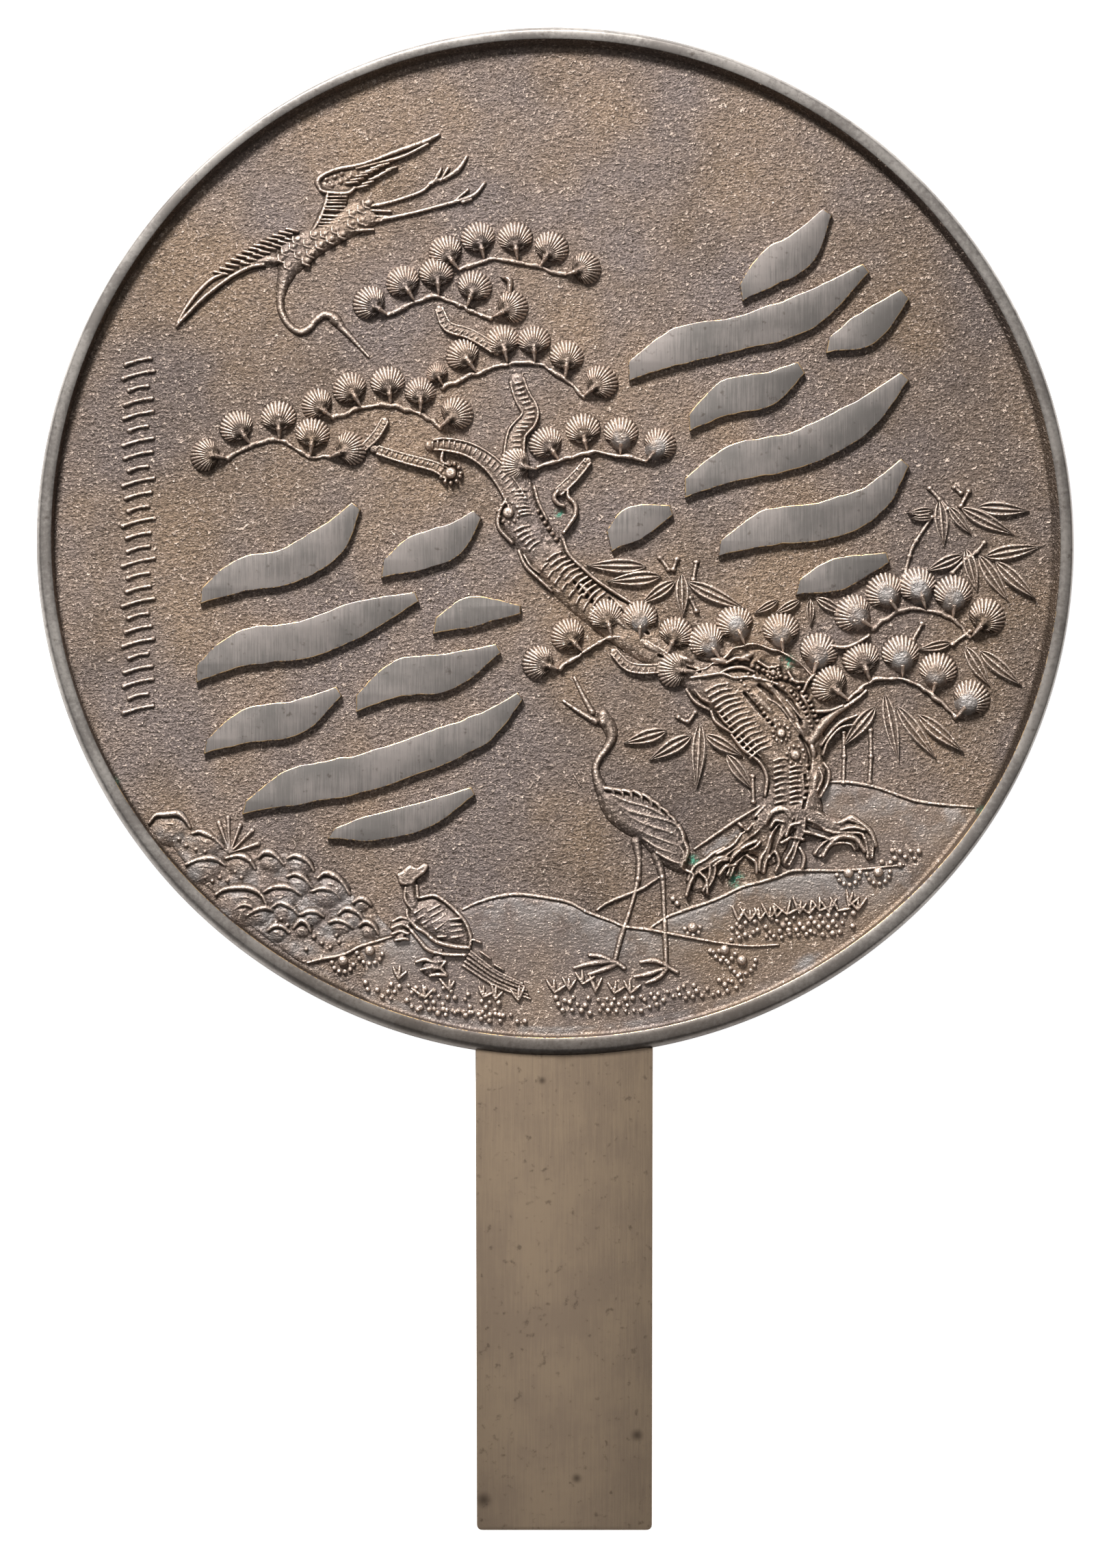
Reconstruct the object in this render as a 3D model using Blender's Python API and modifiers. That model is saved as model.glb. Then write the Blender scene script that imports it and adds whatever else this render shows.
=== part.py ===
"""A Japanese handled mirror of cast bronze, lying on its polished face with the decorated back up.

The origin is the centre of the disc on the polished face, +Y points away from the handle and +Z up through the
back. The relief is drawn in units of one 120th of the disc's radius, which are millimetres at real size, so the
figures keep their places on the disc. Its heights are sizes of their own.
"""

import math

import bmesh
import bpy
from mathutils import Matrix, Vector

# Driving dimensions, in metres
DISC_RADIUS = 0.120
PLATE_THICKNESS = 0.0026
RIM_RISE = 0.0029
RIM_TOP_WIDTH = 0.0029
RIM_SLOPE_WIDTH = 0.0026
RIM_EDGE_BEVEL = 0.0006
HANDLE_WIDTH = 0.0410
HANDLE_LENGTH = 0.1080
HANDLE_THICKNESS = 0.0042
HANDLE_OFFSET = 0.0021
HANDLE_CORNER = 0.0013
HANDLE_EDGE_BEVEL = 0.0003

# How high each kind of relief stands above the ground of the plate
STROKE_RISE = 0.0014
COLUMN_RISE = 0.0007
TUFT_RISE = 0.0026
TWIG_RISE = 0.0012
TRUNK_RISE = 0.0021
BARK_RISE = 0.0027
LEAF_RISE = 0.0009
BIRD_RISE = 0.0018
FEATHER_RISE = 0.0010
LEG_RISE = 0.0008
SHELL_RISE = 0.0021
ROCK_RISE = 0.0013
MOUND_RISE = 0.0006
BANK_RISE = 0.0003
LINE_RISE = 0.0008
BOSS_RISE = 0.0011

LIMB_STEEPNESS = 0.35  # a limb's height as a share of its width

# How finely round forms are cut into flats, and where a smooth surface breaks, in degrees
DISC_STEPS = 96
TUFT_SIDES = 8
SHELL_SIDES = 12
CREASE_ANGLE = 35

# How close loose points are before they are welded: along the disc's seam in metres, and at a cord's ends in
# drawing units
SEAM_WELD = 1e-5
END_WELD = 1e-3

DRAWING_UNITS = 120
UNIT = DISC_RADIUS / DRAWING_UNITS
SUNK = 0.4 * PLATE_THICKNESS
GROUND = PLATE_THICKNESS
RIM_INNER_RADIUS = DISC_RADIUS - RIM_EDGE_BEVEL - RIM_TOP_WIDTH


def cleared_scene():
    """An empty scene with one collection for the mirror and one for the relief that is joined to it."""
    for obj in list(bpy.data.objects):
        bpy.data.objects.remove(obj)
    collections = []
    for name in ("ancient bronze mirror", "relief"):
        collection = bpy.data.collections.new(name)
        bpy.context.scene.collection.children.link(collection)
        collections.append(collection)
    return collections


def bronze():
    """Old bronze with a brown patina, half metal and half oxide."""
    material = bpy.data.materials.new("patinated bronze")
    material.use_nodes = True
    shader = material.node_tree.nodes["Principled BSDF"]
    shader.inputs["Base Color"].default_value = (0.24, 0.19, 0.155, 1)
    shader.inputs["Metallic"].default_value = 0.7
    shader.inputs["Roughness"].default_value = 0.45
    return material


mirror_parts, relief = cleared_scene()


def as_mesh(obj, name, weld):
    """A plain mesh of an object's modifiers or curve, with its caps welded and its faces pointing out."""
    evaluated = obj.evaluated_get(bpy.context.evaluated_depsgraph_get())
    mesh = bpy.data.meshes.new_from_object(evaluated)
    mesh.name = name
    bpy.data.objects.remove(obj)
    shape = bmesh.new()
    shape.from_mesh(mesh)
    bmesh.ops.remove_doubles(shape, verts=shape.verts, dist=weld)
    bmesh.ops.recalc_face_normals(shape, faces=shape.faces)
    shape.to_mesh(mesh)
    shape.free()
    return mesh


def add_relief(name, mesh, rise):
    """Stands a figure on the ground of the plate.

    The mesh is in drawing units, with z from -1 to 1: what is above 0 rises from the ground, and the rest is the
    root that sinks into the plate.
    """
    for vertex in mesh.vertices:
        x, y, z = vertex.co
        vertex.co = (x * UNIT, y * UNIT, GROUND + (z * rise if z > 0 else z * SUNK))
    mesh.shade_smooth()
    mesh.set_sharp_from_angle(angle=math.radians(CREASE_ANGLE))
    figure = bpy.data.objects.new(name, mesh)
    figure.hide_render = True
    figure.display_type = "WIRE"
    relief.objects.link(figure)


def curve_mesh(name, curve, points, closed):
    """The mesh of a curve with one straight-edged spline through points (x, y, radius)."""
    spline = curve.splines.new("POLY")
    spline.points.add(len(points) - 1)
    for target, (x, y, radius) in zip(spline.points, points):
        target.co = (x, y, 0, 1)
        target.radius = radius
    spline.use_cyclic_u = closed
    guide = bpy.data.objects.new(name, curve)
    relief.objects.link(guide)
    return as_mesh(guide, name, END_WELD)


def ridge(name, points, rise, sides=4):
    """A tapered cord half buried in the ground, through points (x, y, width)."""
    curve = bpy.data.curves.new(name, "CURVE")
    curve.dimensions = "3D"
    curve.bevel_depth = 0.5
    curve.bevel_resolution = (sides - 4) // 2
    curve.use_fill_caps = True
    mesh = curve_mesh(name, curve, points, False)
    highest = max(vertex.co.z for vertex in mesh.vertices)
    mesh.transform(Matrix.Scale(1 / highest, 4, (0, 0, 1)))
    add_relief(name, mesh, rise)


def slab(name, outline, rise):
    """A flat-topped figure with an upright edge, from its outline of points (x, y)."""
    curve = bpy.data.curves.new(name, "CURVE")
    curve.dimensions = "2D"
    curve.fill_mode = "BOTH"
    curve.extrude = 1
    add_relief(name, curve_mesh(name, curve, [(x, y, 1) for x, y in outline], True), rise)


def dome(name, centre, length, width, turn, rise, sides=8, rings=4, shape=None):
    """A flattened ball, longest along its turn in degrees. shape may move its unit points first."""
    ball = bmesh.new()
    bmesh.ops.create_uvsphere(ball, u_segments=sides, v_segments=rings, radius=1)
    for vertex in ball.verts:
        if shape:
            shape(vertex.co)
    bmesh.ops.scale(ball, verts=ball.verts, vec=(length / 2, width / 2, 1))
    bmesh.ops.rotate(ball, verts=ball.verts, matrix=Matrix.Rotation(math.radians(turn), 3, "Z"))
    bmesh.ops.translate(ball, verts=ball.verts, vec=(*centre, 0))
    mesh = bpy.data.meshes.new(name)
    ball.to_mesh(mesh)
    ball.free()
    add_relief(name, mesh, rise)


def smooth_path(points, pieces):
    """A smooth curve through points of any number of values, with so many pieces between each two of them."""
    knots = [Vector(point) for point in points]
    knots = [2 * knots[0] - knots[1], *knots, 2 * knots[-1] - knots[-2]]
    path = []
    for before, start, end, after in zip(knots, knots[1:], knots[2:], knots[3:]):
        for step in range(pieces):
            t = step / pieces
            path.append(
                start
                + t / 2 * (end - before)
                + t**2 * (before - 2.5 * start + 2 * end - after / 2)
                + t**3 * (1.5 * (start - end) + (after - before) / 2)
            )
    return [*path, knots[-2]]


def heading(angle):
    """The unit vector in the plane at an angle in degrees from +X."""
    return Vector((math.cos(math.radians(angle)), math.sin(math.radians(angle))))


# Disc and handle


def turned_disc():
    """The plate and rim, a profile turned about Z and closed by two flat faces: the ground and the polished face."""
    rim_top = GROUND + RIM_RISE
    profile = [
        (RIM_INNER_RADIUS - RIM_SLOPE_WIDTH, GROUND),
        (RIM_INNER_RADIUS - RIM_SLOPE_WIDTH / 3, GROUND + RIM_RISE / 4),
        (RIM_INNER_RADIUS, rim_top),
        (DISC_RADIUS - RIM_EDGE_BEVEL, rim_top),
        (DISC_RADIUS, rim_top - RIM_EDGE_BEVEL),
        (DISC_RADIUS, RIM_EDGE_BEVEL),
        (DISC_RADIUS - RIM_EDGE_BEVEL, 0),
    ]
    mesh = bpy.data.meshes.new("profile")
    edges = [(i, i + 1) for i in range(len(profile) - 1)]
    mesh.from_pydata([(radius, 0, height) for radius, height in profile], edges, [])
    turning = bpy.data.objects.new("turning", mesh)
    mirror_parts.objects.link(turning)
    screw = turning.modifiers.new("turn", "SCREW")
    screw.steps = screw.render_steps = DISC_STEPS
    screw.use_merge_vertices = True
    screw.merge_threshold = SEAM_WELD
    disc = as_mesh(turning, "mirror", SEAM_WELD / 10)

    shape = bmesh.new()
    shape.from_mesh(disc)
    bmesh.ops.holes_fill(shape, edges=shape.edges, sides=DISC_STEPS)
    bmesh.ops.recalc_face_normals(shape, faces=shape.faces)
    shape.to_mesh(disc)
    shape.free()
    disc.shade_smooth()
    disc.set_sharp_from_angle(angle=math.radians(CREASE_ANGLE))
    return disc


def handle():
    """The flat strap handle, which runs in under the rim and lies flush with the polished face."""
    inner_end = -RIM_INNER_RADIUS
    outer_end = -DISC_RADIUS - HANDLE_LENGTH
    bar = bmesh.new()
    bmesh.ops.create_cube(bar, size=1)
    bmesh.ops.scale(bar, verts=bar.verts, vec=(HANDLE_WIDTH, inner_end - outer_end, HANDLE_THICKNESS))
    centre = (HANDLE_OFFSET, (inner_end + outer_end) / 2, HANDLE_THICKNESS / 2)
    bmesh.ops.translate(bar, verts=bar.verts, vec=centre)
    end_corners = [
        edge for edge in bar.edges
        if all(vertex.co.y < centre[1] for vertex in edge.verts)
        and edge.verts[0].co.x == edge.verts[1].co.x
    ]
    bmesh.ops.bevel(bar, geom=end_corners, offset=HANDLE_CORNER, segments=3, profile=0.5, affect="EDGES")
    upper_edges = [
        edge for edge in bar.edges
        if all(vertex.co.z > HANDLE_THICKNESS / 2 and vertex.co.y < inner_end for vertex in edge.verts)
        or all(vertex.co.z > HANDLE_THICKNESS / 2 for vertex in edge.verts)
        and abs(edge.verts[0].co.y - edge.verts[1].co.y) > HANDLE_LENGTH / 2
    ]
    bmesh.ops.bevel(bar, geom=upper_edges, offset=HANDLE_EDGE_BEVEL, segments=1, affect="EDGES")
    mesh = bpy.data.meshes.new("handle")
    bar.to_mesh(mesh)
    bar.free()
    strap = bpy.data.objects.new("handle", mesh)
    strap.hide_render = True
    strap.display_type = "WIRE"
    relief.objects.link(strap)


# Pine: a trunk with limbs, and boughs of fan-shaped needle tufts

TUFT_SIZE = 9.4
TUFT_REACH = 4.9
TWIG_WIDTH = 1.5
# How narrow a tuft is at its stalk, and how far its edge swings in and out with the needles
TUFT_FOOT = 0.56
TUFT_NOTCH = 0.05

# Each bough's tufts, as (x, y, the way it points in degrees)
BOUGHS = {
    "crown": [(-25.1, 67.5, 130), (-17.7, 70.6, 109), (-9.2, 70.6, 95), (-1.1, 68.4, 59), (6.7, 63.9, 15)],
    "upper": [(-42.6, 55.8, 150), (-35, 60.5, 120), (-27.4, 62.5, 95), (-18.8, 59.4, 70), (-10.3, 54.9, 30)],
    "middle": [(-21.1, 43.7, 125), (-12.1, 46.8, 103), (-4.9, 46.8, 95), (2.7, 43.2, 85), (10.3, 37.4, 40)],
    "inner": [(-54.8, 32.3, 140), (-47.3, 35.8, 122), (-38.7, 37.2, 95), (-31.2, 35, 88), (-23.1, 30.2, 40)],
    "outer": [(-80.4, 20.7, 170), (-73.4, 26.9, 128), (-64, 29.1, 95), (-56.2, 25.3, 82), (-47.8, 22.1, 20)],
    "right": [(-8.8, 18.5, 170), (-1.9, 23.2, 130), (6.5, 26.2, 100), (15.2, 25.5, 88), (24, 23, 50)],
    "low": [(-3.4, -27.4, 165), (3.2, -21.2, 130), (11.8, -16.7, 105), (19.6, -17.1, 90), (27.8, -20.8, 70)],
    "fork": [(27.8, -29, 175), (35.2, -22.5, 125), (41.7, -18.4, 115), (52.3, -20, 98), (61, -25, 75)],
    "far": [(69.2, -16.1, 145), (76.4, -11.1, 125), (84, -9.8, 110), (92.1, -11.6, 88), (99.7, -17, 50)],
    "near": [(63.7, -32.5, 140), (71, -26.8, 110), (80, -25.5, 95), (88.5, -29.5, 80), (96.1, -35.8, 50)],
}

# The trunk from its top to its roots, and the limbs, as (x, y, width)
TRUNK = [(-9, 21, 5), (-8, 11, 8), (-5.5, 2.5, 9.5), (2, -7, 9.5), (13, -17, 9), (30, -28, 9),
         (44, -38.5, 14), (54, -49, 15.5), (55.5, -57, 14), (55, -66, 18)]
LIMBS = {
    "upper stem": [(-9.3, 20, 6), (-8.7, 26, 5.5), (-5.9, 31, 5), (-8.7, 37.5, 4.5)],
    "left limb": [(-10, 10, 6), (-14, 18, 5), (-20, 22, 4), (-28.5, 23, 3.5)],
    "long twig": [(-26, 16.6, 4), (-28, 18.3, 2.6), (-35, 20, 2.5), (-42, 22.5, 2)],
    "crown stem": [(-13.5, 45, 2.4), (-20.2, 49, 2.6), (-24.7, 50.4, 2.6), (-27, 55, 2.2)],
    "inner stem": [(-44.1, 22.6, 1.8), (-41.4, 25.3, 2), (-39, 29, 2)],
    "hooked stem": [(7.6, 19.3, 2), (0.8, 12.4, 2.4), (1.5, 9.3, 2.4), (4.6, 8.6, 2.6), (1.9, 2.4, 2.4)],
    "low stem": [(14.3, -24.5, 2.6), (16.7, -28.2, 2.6), (24.1, -29.4, 2.4)],
    "fork stem": [(30.9, -29.8, 2.2), (43.8, -30.7, 2.4), (53, -30, 2.4)],
    "right stem": [(59, -42, 5), (64, -37, 4), (71.5, -33.5, 3)],
    "left root": [(49, -62, 4.5), (41, -69, 4), (35, -74, 3.5), (30.5, -79, 3)],
    "middle root": [(54, -62, 5), (51, -69, 4), (48.5, -76, 3)],
    "inner root": [(57, -63, 4), (55, -70, 3), (58, -75, 2.5)],
    "right root": [(60, -62, 4), (66, -65.3, 3), (72, -67, 2.6), (74.5, -72, 2)],
    "root arch": [(61.5, -73, 1.8), (64, -68.8, 2.4), (68, -67.6, 2.4), (72, -71, 2)],
}
# The bars of bark, from the first one's middle to the last one's, and how they turn on the way down, in degrees
BARK_FIRST, BARK_LAST = (35.5, -32), (54, -60)
BARK_BARS = 11
BARK_LENGTH, BARK_WIDTH = 5.2, 0.8
BARK_TURN, BARK_TURN_STEP = 18, -2


def fan(point):
    """Draws a unit ball in towards its stalk at x = -1, and notches its outer edge as the needles do."""
    point.y *= (1 + TUFT_FOOT) / 2 + (1 - TUFT_FOOT) / 2 * point.x
    if abs(point.z) < 0.5 and point.x > -0.4:
        needle = round(math.atan2(point.y, point.x) / (2 * math.pi / TUFT_SIDES)) % 2
        swing = 1 + TUFT_NOTCH if needle else 1 - TUFT_NOTCH
        point.x *= swing
        point.y *= swing


def pine():
    ridge("trunk", smooth_path(TRUNK, 2), TRUNK_RISE, sides=8)
    for name, points in LIMBS.items():
        ridge(name, points, LIMB_STEEPNESS * points[0][2] * UNIT, sides=6)
    for bar in range(BARK_BARS):
        middle = Vector(BARK_FIRST).lerp(BARK_LAST, (bar + 0.5) / BARK_BARS)
        half = heading(BARK_TURN + BARK_TURN_STEP * bar) * BARK_LENGTH / 2
        ridge(f"bark {bar}", [(*(middle - half), BARK_WIDTH), (*(middle + half), BARK_WIDTH)], BARK_RISE)
    for bough, tufts in BOUGHS.items():
        twig = [(*(Vector((x, y)) - TUFT_REACH * heading(turn)), TWIG_WIDTH) for x, y, turn in tufts]
        ridge(f"{bough} twig", twig, TWIG_RISE)
        for number, (x, y, turn) in enumerate(tufts):
            dome(f"{bough} tuft {number}", (x, y), TUFT_SIZE, TUFT_SIZE, turn, TUFT_RISE, TUFT_SIDES, shape=fan)


# Bamboo: sprays of long leaves, as (x, y) of the stalk end and of the tip, and short lengths of cane

LEAF_WIDTH = 2.6
LEAF_POINT = 0.35  # how much narrower a leaf is towards its ends than an oval
CANE_WIDTH = 1.2
LEAVES = [
    ((20.3, -5), (8, -5)), ((23.8, -7.3), (12.7, -8.3)), ((27.3, -8.7), (20.3, -13.3)),
    ((29.3, -7.3), (29.3, -16.3)), ((31.3, -9), (43.3, -14.7)),
    ((51.3, -13), (46.3, -15.7)), ((59, -13), (59, -18.5)), ((60.7, -12.5), (67, -16)),
    ((87.2, 7.2), (81.8, 6.6)), ((89, 9.7), (90, 0.1)), ((94.6, 8.2), (105.6, 2.6)), ((98.4, 8.6), (109.1, 7.7)),
    ((93.9, -2.6), (86.3, -5.7)), ((95.2, -1.5), (97.5, -10.2)), ((100.2, -3.6), (109, -11.5)),
    ((100.2, -2.6), (112.2, -0.6)),
    ((91.2, -22.8), (84.5, -24.1)), ((95.2, -24.1), (100.2, -32.2)), ((98.8, -25), (107.3, -32.2)),
    ((76.4, -35.3), (79.1, -49.7)), ((73.7, -38), (67, -46.1)), ((79.5, -38), (87.6, -48.8)),
    ((84.5, -39.8), (93.9, -47.5)),
    ((25.2, -43.2), (16.4, -45.9)), ((31, -44.5), (22.3, -49.6)), ((33.5, -42), (32.7, -55.7)),
    ((35.3, -44.3), (43, -48.5)),
]
CANES = [((73, -43), (73, -54)), ((66.8, -43.5), (66.8, -54)), ((86.7, 6), (80.9, -7.5)), ((96, -20), (92, -23))]


def leaf(point):
    """Draws the sides of a unit ball in towards both ends, as a blade is."""
    point.y *= 1 - LEAF_POINT * point.x**2


def bamboo():
    for number, (stalk, tip) in enumerate(LEAVES):
        stalk, tip = Vector(stalk), Vector(tip)
        along = tip - stalk
        turn = math.degrees(math.atan2(along.y, along.x))
        dome(f"leaf {number}", (stalk + tip) / 2, along.length, LEAF_WIDTH, turn, LEAF_RISE, rings=2, shape=leaf)
    for number, (top, foot) in enumerate(CANES):
        ridge(f"cane {number}", [(*top, CANE_WIDTH), (*foot, CANE_WIDTH)], LEAF_RISE)


# Cranes

FEATHER_WIDTH = 0.9
TOE_WIDTH = 1.1


def feathers(name, roots, tips, count):
    """Narrow ridges from points spread along one line to points spread along another."""
    for number in range(count):
        share = (number + 0.5) / count
        root = Vector(roots[0]).lerp(roots[1], share)
        tip = Vector(tips[0]).lerp(tips[1], share)
        ridge(f"{name} {number}", [(*root, FEATHER_WIDTH), (*tip, FEATHER_WIDTH / 2)], BIRD_RISE)


def flying_crane():
    slab("far wing", [(-54.5, 84.5), (-50.5, 86.8), (-36.5, 91), (-26.8, 95), (-29, 92.8), (-40, 87.6),
                      (-47, 82.2), (-49.5, 75.5), (-56, 73)], FEATHER_RISE)
    slab("near wing", [(-62, 66), (-72, 64), (-80.5, 57), (-87.5, 51), (-82.5, 59), (-75.5, 65), (-68, 70.5),
                       (-57, 73.5)], FEATHER_RISE)
    feathers("far wing feather", [(-54, 84), (-36, 91)], [(-47, 83.5), (-30, 92.8)], 5)
    feathers("inner wing feather", [(-53, 82), (-56, 74)], [(-48, 81), (-50.5, 76)], 4)
    feathers("near wing feather", [(-64, 66), (-84, 54.5)], [(-61, 72.5), (-85.5, 55)], 8)
    ridge("flying body", [(-62.5, 63, 3.5), (-58.5, 67, 6), (-51, 72.5, 6.4), (-44.5, 76.5, 4.4), (-39, 77, 1.5)],
          BIRD_RISE, sides=8)
    ridge("flying neck", smooth_path([(-61.5, 64.5, 3.6), (-63.4, 58, 2.2), (-62.4, 51.8, 1.8), (-58, 49.2, 1.7),
                                      (-54.2, 53, 1.8), (-50.5, 52.4, 2.2), (-49, 50.7, 1.6)], 2), BIRD_RISE, 6)
    ridge("flying beak", [(-49.2, 51, 1.2), (-43.5, 44, 0.5)], LEG_RISE)
    for number, (knee, foot) in enumerate([((-30, 82.5), (-20.5, 89.5)), ((-27, 78.5), (-16.5, 83.5))]):
        ridge(f"flying leg {number}", [(-43, 76 + number, 1.6), (*knee, 1.1), (*foot, 0.7)], LEG_RISE)


def standing_crane():
    ridge("standing body", [(10.5, -56.5, 2.6), (14, -60.5, 7.5), (19.5, -63.8, 9), (25.5, -69.3, 7.5),
                            (29.5, -75.5, 3)], BIRD_RISE, sides=8)
    feathers("standing feather", [(12, -60), (17.5, -58.5)], [(27, -75), (31, -69)], 5)
    ridge("standing neck", smooth_path([(11.5, -58.5, 3.4), (9.5, -53.5, 2.3), (9.4, -51.3, 2), (13, -44.8, 1.8),
                                        (12, -42.6, 2.8), (10.9, -40.6, 2.2)], 2), BIRD_RISE, 6)
    ridge("upper beak", [(8.6, -38.8, 1), (4.5, -30.8, 0.5)], LEG_RISE)
    ridge("lower beak", [(9.4, -41, 1), (2, -36.2, 0.5)], LEG_RISE)
    for name, ankle, hip_and_knee, toes in [
        ("near", (13.7, -96.8), [(19.1, -69, 2), (19.3, -77.6, 1.5), (16.4, -87.8, 1.1)],
         [(4, -98), (7.5, -99.7), (16.5, -98.4)]),
        ("far", (26, -97.8), [(24.2, -73, 2), (24.9, -79, 1.5), (25.2, -84, 1.1)],
         [(19, -96.8), (20, -101), (28, -99)]),
    ]:
        ridge(f"{name} leg", [*hip_and_knee, (*ankle, TOE_WIDTH)], LEG_RISE)
        for number, toe in enumerate(toes):
            ridge(f"{name} toe {number}", [(*ankle, TOE_WIDTH), (*toe, 0.7 * TOE_WIDTH)], LEG_RISE)


# Turtle, with a long tail of weed


def turtle():
    dome("shell", (-25.8, -87.6), 16.5, 11.5, -42, SHELL_RISE, SHELL_SIDES)
    ridge("shell edge", smooth_path([(-34, -87.6, 1.6), (-30.5, -92.3, 1.8), (-25.5, -94.4, 1.8),
                                     (-19.4, -93.6, 1.8), (-19.4, -89, 1.2)], 2), LINE_RISE)
    ridge("turtle neck", [(-30.5, -84, 4), (-33.2, -80.5, 3), (-33.3, -77, 2.4)], FEATHER_RISE, 6)
    slab("turtle head", [(-37.7, -76), (-35.5, -75), (-33.7, -74), (-31.8, -74.6), (-29.4, -74.2), (-30, -76),
                         (-32.8, -78.5), (-35.8, -78.5)], STROKE_RISE)
    dome("fore foot", (-35.8, -88.3), 4.5, 3.4, 20, FEATHER_RISE)
    dome("hind foot", (-28, -97.4), 5.4, 3.2, -20, FEATHER_RISE)
    for number, (start, end) in enumerate([((-19.5, -94), (-6, -104.6)), ((-20, -96), (-7.5, -105.2)),
                                           ((-21, -97.8), (-10, -105.3))]):
        ridge(f"tail {number}", [(*start, 2.2), (*end, 0.8)], FEATHER_RISE)


# Banks, rocks and flowers along the foot of the field


def rim_arc(first, last, steps):
    """Points under the rim's top, from one angle in degrees to another, so that a bank ends beneath the rim."""
    radius = RIM_INNER_RADIUS / UNIT
    return [tuple(radius * heading(first + (last - first) * step / steps)) for step in range(steps + 1)]


NEAR_BANK = [(-44, -90), (-37, -90.4), (-21.4, -84.4), (-8.3, -81), (3.3, -82.8), (12.9, -86.6), (22, -88.8),
             (34.9, -82.9), (52, -76.7), (67.2, -75.4), (80.7, -74.1)]
FAR_BANK = [(46.5, -61), (56, -61), (63.7, -55), (74.3, -56.1), (84, -59.3), (97, -60.7)]
BANK_LINES = {
    "near line": [(x, y, 1.1) for x, y in NEAR_BANK[1:7]],
    "right line": [(x, y, 1.1) for x, y in NEAR_BANK[6:]],
    "far line": [(x, y, 1.1) for x, y in FAR_BANK[2:]],
    "low line": [(16.1, -88.3, 1), (25.7, -89.9, 1), (38.5, -92.2, 1), (51.7, -92.6, 0.8)],
    "short line": [(9.6, -84.6, 0.8), (17.4, -80.7, 1), (24.4, -76.8, 0.8)],
    "left line": [(32.2, -70.5, 1), (40, -65.5, 1.1), (47.6, -60.4, 1.1)],
    "rock line": [(-57.4, -96.8, 0.9), (-45.7, -93.2, 1), (-37.1, -90.5, 0.9)],
}

# The rocks' rounded tops, as (x, y, radius, tilt in degrees)
ROCK_LIP_WIDTH = 1.3
ROCKS = [
    (-89.5, -66, 3.6, 10), (-81.5, -69.5, 2.8, -20), (-80.5, -76, 3.6, -5), (-73.4, -75, 2.8, -10),
    (-65.5, -74.3, 3.4, -15), (-58.8, -75.2, 3.2, -25), (-59, -80.2, 2.8, -25), (-51.2, -79.6, 3.6, -30),
    (-53.4, -83.2, 2.6, -30), (-72.4, -82.6, 3.2, -10), (-63, -82.2, 3.2, -10), (-69, -87.8, 2.6, -15),
    (-61.8, -86.4, 2.8, -15), (-55.6, -88, 2.8, -15), (-47.4, -87.4, 3.2, -25), (-44.6, -85.4, 2.4, -30),
    (-87, -72.8, 2.6, 0), (-66.8, -79, 2.2, -10),
]
FLOWER_SIZE = 2.4
FLOWERS = [(-42.9, -94), (-49.1, -96.3), (67.9, -76.8), (74.8, -76.4), (43, -96.4), (31.5, -88.8)]


def banks():
    slab("near bank", [*NEAR_BANK, *rim_arc(-44, -116, 12)], BANK_RISE)
    slab("far bank", [*FAR_BANK, *rim_arc(-31, -41, 2), (76, -77), (50, -79)], BANK_RISE)
    slab("rock mound", [(-94, -64), (-87, -62.8), (-78, -68), (-64, -71), (-55, -74.5), (-44, -84), (-39.5, -91),
                        *rim_arc(-119, -145, 5)], MOUND_RISE)
    for name, points in BANK_LINES.items():
        ridge(name, points, LINE_RISE)
    for number, (x, y, radius, tilt) in enumerate(ROCKS):
        arch = [Vector((x, y)) + radius * heading(tilt + turn) for turn in range(180, -1, -60)]
        ridge(f"rock {number}", [(*point, ROCK_LIP_WIDTH) for point in arch], ROCK_RISE)
    for number, centre in enumerate(FLOWERS):
        dome(f"flower {number}", centre, FLOWER_SIZE, FLOWER_SIZE, 0, BOSS_RISE, sides=6)


# Two groups of broad brush strokes, all sweeping one way, each through points (x, y, width), and a column of thin
# ones, all at one slant

BROAD_STROKES = [
    [(43, 58, 3), (50, 64, 8.5), (57, 68.5, 8), (63, 77, 2.5)],
    [(17, 40, 4), (29, 46, 8.5), (43, 49, 8), (58, 54, 8.5), (72, 64, 2.5)],
    [(63, 46, 3), (72, 50, 8), (81, 58, 3)],
    [(31, 28, 3), (40, 34, 8), (49, 36, 8), (57, 41, 3)],
    [(30, 13, 4), (42, 19, 8.5), (56, 22, 8.5), (70, 29, 8), (81, 39, 2.5)],
    [(12.5, 0.5, 4), (18.5, 5, 8), (27, 8, 2.5)],
    [(38, -1, 3), (50, 4, 8.5), (62, 5.5, 9), (73, 10, 7.5), (81, 19, 2.5)],
    [(56, -10, 3), (65, -7, 7.5), (77, -3, 2.5)],
    [(-82, -12, 3), (-72, -7, 8), (-62, -5, 8.5), (-52, 1, 8), (-46, 9, 2.5)],
    [(-40, -6, 3), (-32, -2, 8.5), (-24, 1, 7.5), (-18, 7, 2.5)],
    [(-83, -30, 3.5), (-72, -24, 8.5), (-58, -22, 8.5), (-45, -17, 8), (-32, -12, 2.5)],
    [(-28, -19, 3), (-19, -15.5, 7), (-8, -15, 2)],
    [(-81, -47, 2.5), (-71, -42, 8), (-60, -40, 8), (-50, -34, 2.5)],
    [(-46, -37, 3), (-36, -31, 8.5), (-25, -29.5, 8.5), (-13, -24, 2.5)],
    [(-72, -61, 2.5), (-60, -56, 8.5), (-45, -53, 9), (-30, -48, 8.5), (-17, -42.5, 7), (-8, -35, 2)],
    [(-52, -67, 2), (-42, -65.5, 6), (-30, -62.5, 6), (-19, -57, 2)],
]
COLUMN_TOP, COLUMN_PITCH, COLUMN_ROWS = 42.5, 3.1, 27
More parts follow.
